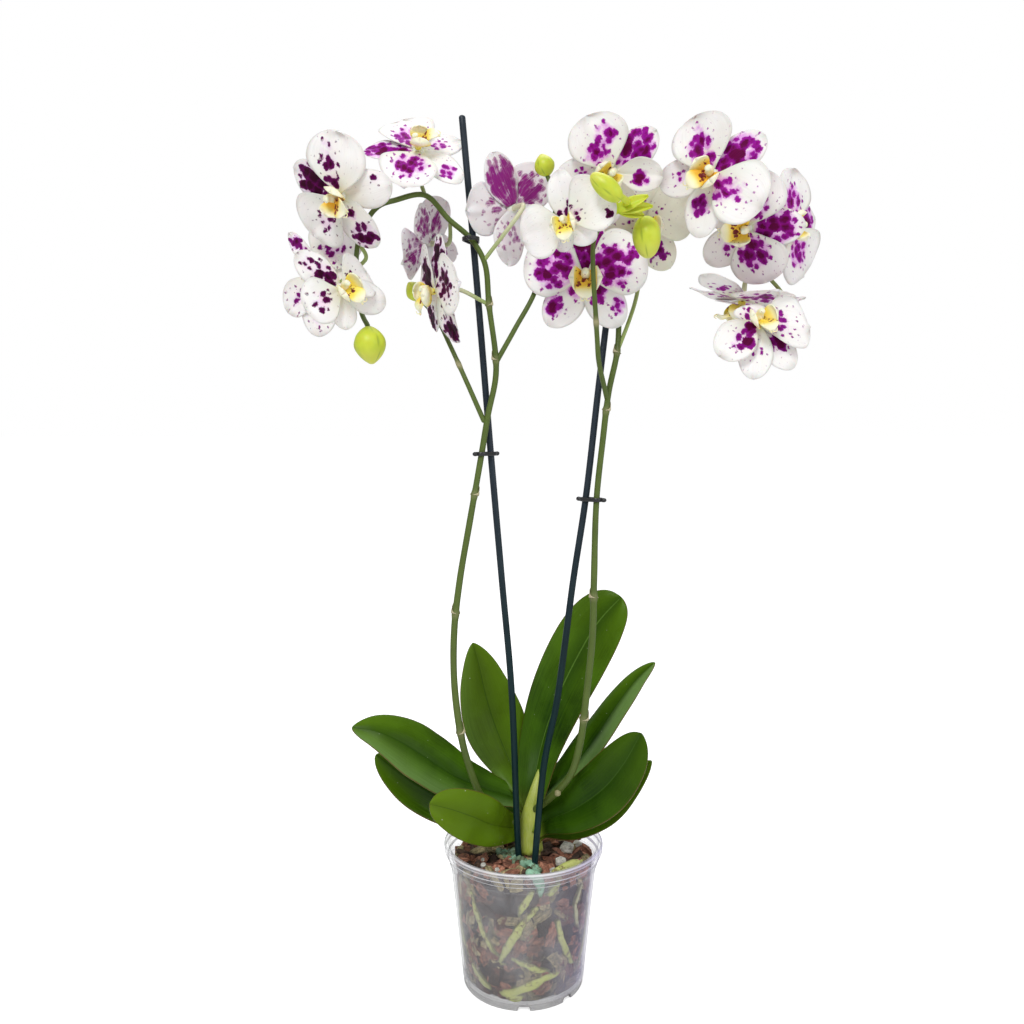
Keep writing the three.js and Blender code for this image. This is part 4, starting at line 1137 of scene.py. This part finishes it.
# Each bloom: its middle, its facing (azimuth, elevation, roll), its size, its stalk's start and way, how
# orange its lip is (warm), and how its marks look: dark, ivory ground, halo round them, and flecks, fine
# dots that grow larger near the marks. Each tepal, D (dorsal), PL, PR (petals), SL, SR (lateral sepals),
# lists its marks as (along, across, radius, strength), and trim changes it by (length, width, turn, bend).
BLOOMS = [
    dict(name="l1", at=(-126, -35, 576), turn=(-28, -28, 55), size=1.0, start=(-101, -11, 576), warm=0.8,
         dark=0.85, flecks=0.05, D=[(0.5, 0, 16, 1.15)], PL=[(0.3, 0.0, 7, 0.8), (0.55, 0.15, 9, 0.52)],
         PR=[(0.75, 0.4, 6, 0.52), (0.5, 0.32, 8, 0.52), (0.22, 0.2, 6, 0.7)],
         SL=[(0.75, 0, 9, 1.2), (0.35, 0, 4, 0.9)], SR=[(0.75, 0.4, 5, 0.4)]),
    dict(name="l2", at=(-74, -12, 613), turn=(8, 42, 88), size=0.93, start=(-70, -8, 583), warm=0.4,
         dark=0.15, halo=0.8, D=[(0.75, 0, 12, 1.1), (0.3, 0, 8, 0.8)], PL=[(0.5, 0, 13, 0.82)],
         PR=[(0.4, 0, 14, 0.7)], SL=[(0.7, 0, 7, 0.8)], SR=[(0.5, 0, 9, 0.4)]),
    dict(name="l3", at=(-122, -52, 512), turn=(40, 5, 42), size=0.9, start=(-118, -16, 531), warm=0.2,
         dark=0.9, D=[(0.35, 0, 11, 0.8), (0.75, 0, 8, 0.5)], PL=[(0.6, 0, 9, 0.55)],
         PR=[(0.4, 0.3, 7, 0.25)], SL=[], SR=[], trim={"PL": (0.8, 0.8, 6, 0), "PR": (0.8, 0.85, -28, -8.0),
         "SL": (0.72, 0.8, 0, 0), "D": (1.0, 1.0, 13, 0)}),
    dict(name="l4", at=(-62, -18, 515), turn=(-64, -8, -18), size=0.95, start=(-27, -9, 508), warm=0.3,
         dark=0.95, flecks=0.05, D=[(0.6, 0, 13, 1.25)], PL=[(0.45, 0, 15, 1.1)],
         PR=[(0.45, 0.1, 12, 1.05)], SL=[(0.78, 0, 11, 1.15)],
         SR=[(0.78, 0, 11, 1.15), (0.35, 0.2, 5, 0.6)]),
    dict(name="l5", at=(-71, 26, 556), turn=(-118, 8, -48), size=0.85, start=(-52, -9, 565), warm=0.4,
         dark=0.1, halo=0.9, D=[(0.5, 0, 16, 0.8)], PL=[(0.45, 0, 14, 0.7)], PR=[(0.5, 0, 16, 0.8)],
         SL=[(0.5, 0, 10, 0.5)], SR=[(0.5, 0, 10, 0.5)]),
    dict(name="l6", at=(-148, 8, 531), turn=(-15, 5, 40), size=0.95, start=(-117, -11, 550),
         via=[(-114, 4, 541)], warm=0.5, dark=0.6, halo=0.7, flecks=0.3,
         D=[(0.8, 0, 8, 0.7), (0.5, 0, 6, 0.7)], PL=[(0.65, 0, 12, 0.34)], PR=[(0.5, 0, 14, 0.4)],
         SL=[(0.75, 0, 9, 0.34)], SR=[],
         trim={"D": (1.1, 0.5, 3, 0), "PL": (0.95, 0.62, 22, 0), "SL": (1.15, 1.15, -6, 0)}),
    dict(name="c0", at=(-9, 8, 577), turn=(-150, 4, -30), size=1.0, start=(-28, -10, 538), warm=0.4,
         dark=0.3, flecks=0.2, D=[(0.45, 0, 18, 1.2)], PL=[(0.45, 0, 14, 1.1)], PR=[(0.4, 0, 12, 0.5)],
         SL=[(0.5, 0, 12, 0.35)], SR=[(0.5, 0, 12, 0.5)],
         trim={"PR": (0.9, 0.85, 0, 0), "PL": (0.95, 0.8, 0, 0)}),
    dict(name="c1", at=(59, -30, 593), turn=(-12, -24, -50), size=0.95, start=(79, 34, 556),
         via=[(68, 9, 591)], warm=0.3, dark=0.1, halo=0.8, D=[(0.55, 0, 16, 0.9)],
         PL=[(0.6, -0.3, 8, 0.9), (0.35, 0.2, 9, 0.8)], PR=[(0.6, -0.2, 6, 1.0)], SL=[(0.5, 0, 8, 0.4)],
         SR=[(0.5, 0, 9, 0.5)], trim={"PR": (0.88, 0.55, 26, 6.0)}),
    dict(name="c2", at=(27, -66, 553), turn=(-22, -12, 10), size=0.8, start=(21, -10, 568),
         via=[(24, -32, 566)], warm=0.15, dark=0.9, D=[(0.12, 0.1, 8, 0.75), (0.4, -0.4, 4, 0.5)],
         PL=[(0.2, -0.2, 5, 0.4)], PR=[(0.2, 0.1, 7, 0.6), (0.8, -0.6, 4, 0.9)], SL=[], SR=[],
         trim={"SL": (0.62, 0.85, 0, -5.0), "SR": (0.62, 0.85, 0, -5.0), "PR": (1.0, 1.08, 0, 0),
         "PL": (1.0, 1.0, 22, 0)}),
    dict(name="c3", at=(43, -15, 526), turn=(-4, -8, 0), size=1.06, start=(70, 10, 510), warm=0.6, dark=0.2,
         halo=0.9, D=[(0.45, 0, 16, 1.2)], PL=[(0.5, 0, 14, 1.05)],
         PR=[(0.42, 0, 14, 1.05), (0.8, 0.2, 5, 0.8)], SL=[(0.7, -0.5, 8, 0.9), (0.2, 0, 8, 0.9)],
         SR=[(0.3, 0, 8, 1.0), (0.75, 0.6, 8, 0.65)]),
    dict(name="c4", at=(86, 8, 566), turn=(16, -12, 4), size=1.0, start=(67, -4, 474),
         via=[(77, 4, 499), (83, 14, 517), (87, 27, 540)], warm=0.1, dark=0.5, ivory=0.75, flecks=0.2,
         D=[(0.5, 0, 8, 0.3)], PL=[(0.35, 0, 8, 0.3)], PR=[(0.35, 0, 8, 0.25)], SL=[(0.5, 0, 7, 0.4)],
         SR=[(0.6, 0, 8, 0.6)]),
    dict(name="r1", at=(125, -40, 589), turn=(-32, 0, -55), size=1.0, start=(137, 16, 587),
         via=[(134, 0, 599)], warm=0.8, dark=0.1, halo=0.9, D=[(0.5, 0, 16, 0.95)],
         PL=[(0.25, 0.1, 8, 1.2), (0.5, 0.1, 9, 0.8), (0.78, 0, 5, 0.5)],
         PR=[(0.25, -0.2, 9, 0.9), (0.5, 0, 10, 0.4)], SL=[(0.55, 0, 8, 0.35)], SR=[(0.5, -0.2, 7, 0.9)]),
    dict(name="r2", at=(155, -14, 559), turn=(-32, -20, -94), size=0.98, start=(150, 16, 580), warm=0.55,
         dark=0.25, halo=0.8, D=[(0.5, 0, 16, 0.9)], PL=[(0.4, -0.1, 13, 0.6)], PR=[(0.42, 0, 12, 0.9)],
         SL=[(0.6, 0, 8, 0.3)], SR=[(0.5, 0, 8, 0.4)]),
    dict(name="r3", at=(195, 18, 566), turn=(38, -2, -70), size=1.0, start=(171, 22, 560), warm=0.5,
         dark=0.1, halo=0.9, D=[(0.5, 0, 16, 0.95)], PL=[(0.45, 0, 12, 0.75)], PR=[(0.5, 0, 12, 0.7)],
         SL=[(0.5, 0, 10, 0.6)], SR=[(0.5, 0, 10, 0.5)], trim={"PR": (1.0, 1.2, 0, 0)}),
    dict(name="r5", at=(160, -32, 492), turn=(10, 25, 15), size=0.97, start=(175, 24, 536),
         via=[(186, 27, 528), (195, 28, 517), (196, 25, 506), (186, 8, 494), (170, -8, 487)],
         petal_angle=-15.0, lateral_angle=-66.0, dorsal=0.42, warm=0.3, dark=0.35, flecks=0.15,
         D=[(0.5, 0, 8, 0.5)], PL=[(0.15, 0.1, 7, 1.1), (0.42, 0.2, 8, 1.1), (0.62, 0.1, 5, 0.8)],
         PR=[(0.45, 0, 13, 0.42)], SL=[(0.5, 0, 9, 0.3)], SR=[(0.5, 0.2, 7, 1.0)],
         trim={"PL": (0.98, 0.66, 10, 3.0)}),
    dict(name="r6", at=(160, 12, 513), turn=(-90, -80, 180), size=1.1, start=(175, 24, 538), warm=0.2,
         dark=0.15, D=[(0.55, 0, 17, 1.1)], PL=[(0.5, 0, 14, 0.8)], PR=[(0.5, 0, 14, 0.6)],
         SL=[(0.5, 0, 9, 0.4)], SR=[(0.5, 0, 9, 0.4)]),
]


def bloom_matrix(bloom):
    """From the bloom's own frame (x to its right, y up, z out of its face) to the plant's."""
    a, e, r = (radians(v) for v in bloom["turn"])
    out = Vector((sin(a) * cos(e), -cos(a) * cos(e), sin(e)))
    level = Vector((cos(a), sin(a), 0.0))
    rise = out.cross(level)
    right = level * cos(r) + rise * sin(r)
    up = rise * cos(r) - level * sin(r)
    turn = Matrix((right, up, out)).transposed().to_4x4()
    return Matrix.Translation(Vector(bloom["at"])) @ turn @ Matrix.Scale(bloom["size"], 4)


def add_stalk(shape, bloom):
    """The bloom's own stalk, from the spike to the back of the bloom."""
    matrix = bloom_matrix(bloom)
    seat = matrix @ Vector((0, 0, -HUB_BACK + 0.2))
    approach = matrix @ Vector((0, 0, -(HUB_BACK + 13) / bloom["size"]))
    route = [bloom["start"], *bloom.get("via", []), approach, seat]
    stalk = tube(route, lambda s, p: STALK_RADIUS + 0.65 * s ** 3, 1.8, 12)
    pale = 0.35 if bloom["name"] in PALE_STALKS else 0.0
    shape.add(*stalk, mark=lambda s, k: (s, k, pale))


def tepal_half(s, claw, middle, rise, fall):
    """Half the width of a tepal, as a share of its widest, at share s of its length."""
    if s < middle:
        return claw + (1 - claw) * sin(pi / 2 * s / middle) ** rise
    w = min(1.0, (s - middle) / (1 - middle))
    return (1 - w ** fall) ** (1 / fall)


def tepal_spread(t):
    """The share of the length for row t, with closer rows towards the tip."""
    return t * 1.1 if t < 0.5 else 0.55 + 0.45 * sin(pi * (t - 0.5))


def add_tepal(shape, matrix, bloom, key, degrees, length, width, rng, petal):
    """One tepal, as a thin cupped and rippled blade that leaves the hub at an angle."""
    longer, wider, turned, bend = bloom.get("trim", {}).get(key, (1.0, 1.0, 0.0, 0.0))
    length *= longer
    width *= wider
    angle = radians(degrees + turned + rng.uniform(-2.5, 2.5))
    rows, columns = (26, 22) if petal else (24, 14)
    claw, middle, rise, fall = (0.12, 0.55, 1.12, 2.1) if petal else (0.3, 0.52, 0.85, 1.9)
    lift = 0.0 if petal else -2.4
    cup = rng.uniform(1.5, 4.5) if petal else rng.uniform(-0.6, 2.2)
    reflex = rng.uniform(0.5, 5.0) if petal else rng.uniform(1.0, 6.0)
    twist = rng.uniform(-0.12, 0.12)
    skew = rng.uniform(-1.6, 1.6)
    ripple = rng.uniform(0.7, 1.7) if petal else rng.uniform(0.3, 0.9)
    waves = rng.choice((3, 4, 5))
    phase = rng.uniform(0, FULL_TURN)
    seed = rng.uniform(0, 1000)
    along = Vector((cos(angle), sin(angle), 0))
    across = Vector((-sin(angle), cos(angle), 0))
    lean = 1.0 if cos(angle) > 0 else -1.0

    def local(t, v):
        """Where a point of the tepal is: across it, along it and out of the bloom's face."""
        s = tepal_spread(t)
        half = width / 2 * tepal_half(s, claw, middle, rise, fall)
        if petal:
            half *= 1 + 0.06 * lean * (1 if v > 0 else -1) * sin(pi * s)
        reach = CLAW_START + (length - CLAW_START) * s
        x = half * v + skew * s * s
        edge = max(abs(v), s) ** 3
        turn = atan2(v * 0.9, s - 0.4)
        z = lift + cup * v * v * sin(pi * min(1, s * 1.05)) + (bend - reflex) * s * s
        z += ripple * edge * sin(waves * turn + phase)
        z += twist * x * s
        z -= 0.9 * hill(v, 0.12) * (1 - s) * sin(pi * min(1, 1.3 * s))
        z += 1.3 * noise.noise(Vector((x * 0.08, reach * 0.08, seed)))
        return x, reach, z

    def place(t, v):
        x, reach, z = local(t, v)
        return matrix @ (along * reach + across * x + Vector((0, 0, z)))

    def thick(t, v):
        rim = max(abs(v) ** 4, tepal_spread(t) ** 6)
        return 0.55 * (1 - 0.7 * rim) + (0.35 if t < 0.2 else 0.0) * (1 - t / 0.2)

    def dose_at(x, reach, s, v):
        """The strongest of the tepal's marks at a point, fading towards the rim."""
        amount = 0.0
        for mark_s, mark_v, radius, strength in bloom[key]:
            away = hypot(reach - mark_s * length, x - mark_v * width / 2)
            amount = max(amount, strength * exp(-((away / radius) ** 2.4)))
        return amount * (1 - 0.75 * max(abs(v) ** 5, s ** 7))

    verts, faces, shares = blade(rows, columns, place, thick)
    flat, dose, vein = [], [], []
    for t, v, side in shares:
        x, reach, _ = local(t, v)
        s = (reach - CLAW_START) / (length - CLAW_START)
        amount = dose_at(x, reach, s, v)
        flecks = bloom.get("flecks", 0.1) * (0.1 + 1.6 * amount)
        flat.append((x + seed * 7.3, reach + seed * 3.1, 0.0))
        dose.append((amount, 0.0, flecks) if side > 0 else (amount, 1.0, flecks * 0.5))
        vein.append((v, s, seed))
    tint = (bloom["dark"], bloom.get("ivory", 0.0), bloom.get("halo", 0.35))
    shape.add(verts, faces, flat=flat, dose=dose, vein=vein, tint=tint)


def make_tepals(bloom, order):
    """The five tepals, sepals behind petals, and the small hub that joins them."""
    rng = random.Random(500 + order)
    matrix = bloom_matrix(bloom)
    shape = Shape()
    petal_angle = bloom.get("petal_angle", PETAL_ANGLE)
    lateral_angle = bloom.get("lateral_angle", LATERAL_ANGLE)
    dorsal = SEPAL_LENGTH * bloom.get("dorsal", 1.0)
    add_tepal(shape, matrix, bloom, "D", 90, dorsal, SEPAL_WIDTH, rng, False)
    for key, degrees in (("SR", lateral_angle), ("SL", 180 - lateral_angle)):
        add_tepal(shape, matrix, bloom, key, degrees, SEPAL_LENGTH, SEPAL_WIDTH, rng, False)
    for key, degrees in (("PR", petal_angle), ("PL", 180 - petal_angle)):
        add_tepal(shape, matrix, bloom, key, degrees, PETAL_LENGTH, PETAL_WIDTH, rng, True)
    verts, faces = lump((0, 0, 0), (9.0, 9.0, 5.6), STRAIGHT, rng, boxy=2.0, sides=16)
    verts = [matrix @ (v + Vector((0, 0, -1.4))) for v in verts]
    shape.add(verts, faces, dose=(0.15, 0.2, 0.0), vein=(0, 0.1, 0), tint=(0.5, 0, 0))
    name = bloom["name"]
    shape.make("petals_" + name, TEPAL, "bloom_%s_tepals" % name)


LIP_BASE = 1.55


def rounded_end(s, start):
    """One up to the start share, then round to nothing at the end."""
    return (1 - (max(0.0, s - start) / (1 - start)) ** 2.3) ** 0.45


def make_lip(bloom, order):
    """Two rounded side lobes, a short mid lobe with tendrils, a callus and the column over them."""
    rng = random.Random(900 + order)
    matrix = bloom_matrix(bloom)
    shape = Shape()
    shift = Vector((rng.uniform(-90, 90), rng.uniform(-90, 90), 0))
    orange = bloom["warm"]

    def put(mesh, tone):
        verts, *rest = mesh
        flat = [tuple(v + shift) for v in verts]
        shape.add([matrix @ v for v in verts], *rest, flat=flat, tone=tone)

    def above(x, y, z):
        return Vector((x, y, LIP_BASE + z))

    column = [above(0, 0, 0.2), above(0, 0.6, 3.2), above(0, 2.6, 6.5), above(0, 2.8, 9.2)]
    stem = tube(column, lambda s, p: 2.4 + 0.6 * sin(pi * min(1, s * 1.1)), 0.9, 16)
    put(stem, lambda s, _: (0.3 + 0.9 * max(0.0, 0.5 - s), 0.5 * max(0.0, 0.6 - s), 0.0))
    put(lump(above(0, 2.2, 9.9), (4.4, 4.0, 3.4), spin(-0.5, "X"), rng), (0.12, 0.2, 0.0))
    put(lump(above(0, -3.2, 5.4), (4.6, 3.4, 4.4), STRAIGHT, rng, rough=0.2), (1.0, 0.85, orange))

    def mid(s, v):
        half = 2.6 + 4.4 * sin(pi * min(1.0, 0.15 + 0.64 * s)) ** 2
        half = max(half * rounded_end(s, 0.55), 0.6)
        rise = 2.2 * abs(v) ** 1.6 * sin(pi * min(1, 0.2 + s * 0.7))
        return above(half * v, -1.0 - 13.5 * s, 2.2 + 9.0 * sin(1.9 * s) + rise)

    def mid_tone(s, v, _):
        return 0.15 + 0.85 * hill(s - 0.1, 0.5), 0.9 * hill(s - 0.25, 0.28) * (1 - 0.4 * v * v), orange

    put(blade(20, 12, mid, lambda s, v: 0.55 * (1 - 0.5 * abs(v) ** 3)), mid_tone)
    tip = mid(1.0, 0.0)
    for side in (-1, 1):
        curl = [(0.2, 0.8, 0), (1.2, -1.2, 0.6), (2.6, -1.2, 1.8), (3.2, 0.4, 2.4)]
        tendril = [tip + Vector((side * x, y, z)) for x, y, z in curl]
        put(tube(tendril, lambda s, p: 0.5 - 0.25 * s, 0.6, 8), (0.4, 0.0, 0.0))

        def ear(s, v):
            half = (2.4 + 5.6 * sin(pi * min(1.0, 0.1 + 0.62 * s))) * rounded_end(s, 0.35)
            x = side * (1.4 + 9.4 * sin(1.5 * s) - 3.0 * v * v * s)
            return above(x, -2.2 + 1.6 * s + half * v, 2.6 + 8.6 * s ** 1.1 + 2.4 * v * v * s)

        def ear_tone(s, v, _):
            fade = (1 - s) ** 1.2
            return min(1.0, 0.1 + 1.1 * fade), 0.8 * fade * (0.6 + 0.4 * v * v), orange

        put(blade(16, 12, ear, lambda s, v: 0.45), ear_tone)
    name = bloom["name"]
    shape.make("lip_" + name, LIP, "bloom_%s_lip" % name)


# Buds


def add_bud(shape, middle, radius, length, lean, seed, pointed=0.72):
    """An oval bud of three closed sepals, with shallow seams between them and a blunt tip."""
    rings, sides = 26, 30
    turn = Vector((0, 0, 1)).rotation_difference(Vector(lean).normalized()).to_matrix()
    verts, marks = [], []
    for i in range(rings + 1):
        s = i / rings
        for k in range(sides):
            angle = FULL_TURN * k / sides
            groove = hill(abs(sin(1.5 * (angle + 0.5 * s + seed))), 0.16)
            r = radius * sin(pi * (0.03 + 0.955 * s ** 0.92)) ** pointed
            uneven = 0.03 * noise.noise(Vector((angle, s * 3, seed)))
            r *= 1 - 0.09 * groove * sin(pi * s) + uneven
            verts.append(Vector(middle) + turn @ polar(r, angle, length * (s - 0.5)))
            marks.append((s, groove, 0.0))
    shape.add(verts, ring_faces(rings + 1, sides), mark=marks)


# Single buds: node, middle, radius, length and the way the tip points.
BUDS = [
    ("bud_left_tip", (-105.5, -39, 476), 11.0, 25.5, (0.1, 0, -1)),
    ("bud_left_branch", (-81, 26, 521), 7.0, 16.0, (-0.6, 0, 0.8)),
    ("bud_centre_branch", (14, -12, 602.5), 7.2, 15.5, (-0.3, 0, 1)),
]

# The spray's stems, as routes with a radius, the scales where they fork, and its buds.
SPRAY_STEMS = [
    ([(50.5, -50.4, 554.6), (58, -55, 561), (64, -62, 564)], 1.9),
    ([(64, -62, 564), (65, -74, 564), (60, -85, 564), (55, -88, 567)], 2.1),
    ([(58, -55, 561), (66, -54, 563), (77, -51, 559), (80, -50, 553)], 1.8),
]
SPRAY_FORK = Vector((60, -62, 560))
SPRAY_SCALES = [(-11, -3, 4), (16, -4, 6), (18, -1, 1), (13, 2, -3)]
SPRAY_BUDS = [
    ((50, -88, 569.5), 6.6, 24.0, (-0.75, 0, 0.62)),
    ((81, -50, 546), 9.5, 27.0, (0.1, 0, -1)),
]
SPRAY_POINTED = 0.5


def add_spray_scale(shape, foot, reach):
    """A small pointed green scale at a fork of the spray."""
    side = Vector((0, -1, 0.2)).cross(reach).normalized()
    out = reach.cross(side).normalized()

    def place(s, v):
        half = 4.2 * sin(pi * (0.18 + 0.8 * s)) ** 0.8
        lift = 2.2 + 1.6 * abs(v) + 2.0 * sin(2.4 * s)
        return foot + reach * s * 1.25 + side * (half * v) + out * lift

    scale = blade(12, 6, place, lambda s, v: 0.35)
    shape.add(*scale, mark=lambda s, v, _: (0.3 + 0.3 * s, 0.3 * abs(v), 0.0))


def make_buds():
    """The single buds, and the spray: two buds, their stems and the scales, in one piece."""
    for seed, (name, *bud) in enumerate(BUDS):
        shape = Shape()
        add_bud(shape, *bud, seed)
        shape.make(name + "_sepals", BUD, name)
    spray = Shape()
    for route, radius in SPRAY_STEMS:
        spray.add(*tube(route, radius, 1.8, 14), mark=(0.2, 0.0, 0.0))
    for tip in SPRAY_SCALES:
        add_spray_scale(spray, SPRAY_FORK, Vector(tip))
    for seed, bud in enumerate(SPRAY_BUDS, 4):
        add_bud(spray, *bud, seed, SPRAY_POINTED)
    spray.make("bud_spray_sepals", BUD, "bud_spray")


# Leaves

# Each leaf: its widest size, the way its upper face looks, its spine from inside the crown to the tip, the
# share of its length where it is widest (peak), how blunt its tip is, and its width at the base, with rise
# for how late it widens. young is how yellow it is, or how dark when negative, rib how pale its midrib is,
# and painted_sheen which side of the midrib gets a painted sheen, a paler band that stands in for light,
# and how much.
LEAVES = [
    dict(name="leaf_left_long", width=45, face=(0.1, -0.62, 0.78), peak=0.68, blunt=1.55, base=0.2,
         painted_sheen=0.5, spine=[(6, 5, 122), (-3, 4, 136), (-29, -3, 149), (-50, -11, 161), (-72, -15, 177),
         (-92, -18, 191), (-108, -20, 199), (-125, -20, 202)]),
    dict(name="leaf_left_under", width=46, face=(0.1, -0.5, 0.86), peak=0.58, blunt=1.9, base=0.36,
         spine=[(5, 1, 106), (-6, 4, 118), (-30, 7, 124), (-54, 9, 131), (-78, 12, 143), (-97, 14, 156),
         (-113, 15, 169)]),
    dict(name="leaf_front_short", width=36, face=(-0.25, -0.85, 0.42), peak=0.6, blunt=2.2, base=0.32,
         young=0.5, spine=[(4, 3, 113), (-3.1, -2, 118), (-12, -11.5, 123), (-23, -27, 132),
         (-36, -44, 145), (-51, -57, 156), (-65, -65, 163)]),
    dict(name="leaf_upright_left", width=50, face=(0.35, -0.9, -0.1), peak=0.56, blunt=1.5, base=0.14,
         rise=1.9, young=0.3, painted_sheen=0.25, spine=[(5, 0, 122), (1, 4, 141), (-11, 20, 163), (-22, 28, 188),
         (-30, 30, 214), (-34.5, 29, 235), (-39, 26, 254)]),
    dict(name="leaf_upright_tall", width=52, face=(-0.5, -0.86, 0.2), peak=0.72, blunt=2.4, base=0.34,
         rib=0.9, painted_sheen=0.15, spine=[(5, -1, 118), (7.7, 2, 146), (15, 16, 178), (26, 21, 210),
         (42, 25, 243), (58, 27, 270), (75, 25, 290)]),
    dict(name="leaf_right_narrow", width=33, face=(-0.62, -0.45, 0.65), peak=0.52, blunt=1.75, base=0.4,
         painted_sheen=-1.1, spine=[(6, 0, 120), (12, 2, 137), (39, 7, 163), (57, 9, 187), (72, 10, 210),
         (86, 10, 229), (99, 8, 243)]),
    dict(name="leaf_right_front", width=41, face=(-0.2, -0.83, 0.52), peak=0.6, blunt=1.95, base=0.24,
         young=-0.6, rib=0.3, spine=[(6, -1, 109), (14.4, -5.4, 123), (38, -22, 142), (57, -33, 161),
         (71, -41, 183), (82, -45, 206)]),
    dict(name="leaf_right_under", width=28, face=(-0.15, -0.6, 0.8), peak=0.55, blunt=1.7, base=0.44,
         young=0.1, spine=[(6, 0, 104), (14.8, 0.6, 115), (39, -1, 119), (59, -4, 131), (78, -7, 152),
         (95, -9, 173)]),
]


def leaf_spread(t):
    """The share of the length for row t, with closer rows towards the tip."""
    return min(t * 1.06 if t < 0.5 else 0.53 + 0.47 * sin(pi * (t - 0.5)), 1.0)


def leaf_half(spec, s):
    """Half the width of a leaf at share s of its length."""
    half, peak, blunt, base = spec["width"] / 2, spec["peak"], spec["blunt"], spec["base"]
    if s < peak:
        return half * (base + (1 - base) * sin(pi / 2 * s / peak) ** spec.get("rise", 1.25))
    past = min(1.0, (s - peak) / (1 - peak))
    return half * (1 - past ** blunt) ** (1 / blunt)


def make_leaf(spec, order):
    """A folded, slightly wavy blade with a sunken midrib and a keel below it."""
    curve = Curve(spec["spine"], 40)
    upper = Vector(spec["face"]).normalized()
    phase = random.Random(70 + order).uniform(0, 6)

    def place(t, v):
        s = leaf_spread(t)
        half = leaf_half(spec, s)
        tangent = curve.tangent(min(s, 0.99))
        side = upper.cross(tangent).normalized()
        normal = tangent.cross(side).normalized()
        fold = 0.17 * (1 - 0.5 * s) + 0.75 * max(0.0, 1 - s / 0.24) ** 2
        rise = fold * half * abs(v) + 0.06 * half * sin(pi * abs(v))
        rise += 1.1 * abs(v) ** 3 * sin(9 * s + phase + (1.5 if v > 0 else 0.0)) * sin(pi * s)
        rise -= 0.7 * hill(v, 0.045) * (1 - s)
        rise += 0.6 * noise.noise(Vector((s * 5, v * 2, order * 7.7)))
        return curve.along(s) + side * (half * v * (1 - 0.12 * fold)) + normal * rise

    def thick(t, v):
        s = leaf_spread(t)
        return (0.95 + 0.5 * hill(v, 0.1) * (1 - s)) * (1 - 0.55 * max(abs(v), s ** 5) ** 4)

    tone = (spec.get("young", 0.0), spec.get("rib", 0.0), spec.get("painted_sheen", 0.0))
    shape = Shape()
    shape.add(*blade(56, 28, place, thick), grid=lambda t, v, side: (leaf_spread(t), v, side), tone=tone)
    shape.make(spec["name"] + "_blade", LEAF, spec["name"])


# Floor, light and camera

# The camera's place in millimetres from the foot of the pot, how far it looks down in degrees, and its focal
# length in pixels of the photograph.
CAMERA_AT = Vector((-8.6, -700.0, 423.0))
CAMERA_DROP = 5.3
FOCAL_PX = 957.0
FRAME_PX = 1024
SENSOR = 36.0
FLOOR_REACH = 30.0

# Lights: name, place in metres, diameter and power.
LIGHTS = [
    ("key", (-0.6, -1.7, 1.95), 0.8, 27.0),
    ("fill", (1.6, -1.3, 1.0), 1.6, 9.0),
    ("top", (0.1, 0.6, 2.0), 1.4, 12.0),
]


def make_floor():
    """A pale floor that reads as plain white paper, with only the soft shadow of the pot on it."""
    sh = Shader("floor", Specular_IOR_Level=0.1, Emission_Color=(1.0, 1.0, 1.0))
    seen = sh.node("LightPath").outputs["Is Camera Ray"]
    sh.set(Emission_Strength=sh.times(seen, 0.6))
    grain = sh.noise(sh.object_mm(), 0.004, 3.0)
    paper = sh.mix(grain, (0.88, 0.88, 0.88), (0.92, 0.92, 0.92))
    mesh = bpy.data.meshes.new("floor")
    corners = [(x * FLOOR_REACH, y * FLOOR_REACH, 0) for x, y in ((-1, -1), (1, -1), (1, 1), (-1, 1))]
    mesh.from_pydata(corners, [], [(0, 1, 2, 3)])
    mesh.materials.append(sh.finish(paper, sh.step(grain, 0, 1, 0.7, 0.85)))
    link("floor", mesh)


def make_lights():
    """Three soft round lights, and a world that lights the plant softly and looks white to the camera."""
    target = Vector((AXIS.x, AXIS.y, 0.35))
    for name, place, size, power in LIGHTS:
        data = bpy.data.lights.new(name, "AREA")
        data.shape = "DISK"
        data.size = size
        data.energy = power
        lamp = link(name, data)
        lamp.location = place
        lamp.rotation_euler = (target - Vector(place)).to_track_quat("-Z", "Y").to_euler()
    world = bpy.data.worlds.new("studio")
    bpy.context.scene.world = world
    world.use_nodes = True
    tree = world.node_tree
    glow = tree.nodes["Background"]
    glow.inputs["Color"].default_value = (0.97, 0.98, 1.0, 1.0)
    glow.inputs["Strength"].default_value = 0.49
    paper = tree.nodes.new("ShaderNodeBackground")
    paper.inputs["Color"].default_value = (1.0, 1.0, 1.0, 1.0)
    seen = tree.nodes.new("ShaderNodeLightPath")
    pick = tree.nodes.new("ShaderNodeMixShader")
    for start, end in (
        (seen.outputs["Is Camera Ray"], pick.inputs[0]),
        (glow.outputs[0], pick.inputs[1]),
        (paper.outputs[0], pick.inputs[2]),
        (pick.outputs[0], tree.nodes["World Output"].inputs["Surface"]),
    ):
        tree.links.new(start, end)


def make_camera():
    """A camera where the photograph was taken from, looking slightly down."""
    data = bpy.data.cameras.new("camera")
    data.sensor_fit = "HORIZONTAL"
    data.sensor_width = SENSOR
    data.lens = SENSOR * FOCAL_PX / FRAME_PX
    data.clip_start = 0.05
    camera = link("camera", data)
    camera.location = AXIS + CAMERA_AT * MM
    camera.rotation_euler = (radians(90 - CAMERA_DROP), 0, 0)
    bpy.context.scene.camera = camera


make_camera()
make_lights()
make_floor()
make_pot()
make_bark()
make_roots()
make_crown()
make_stakes()
for clip in CLIPS:
    make_clip(*clip)
for side in SPIKES:
    make_spike(side)
for order, bloom in enumerate(BLOOMS):
    make_tepals(bloom, order)
    make_lip(bloom, order)
make_buds()
for order, leaf in enumerate(LEAVES):
    make_leaf(leaf, order)

bpy.context.scene.view_settings.view_transform = "Standard"
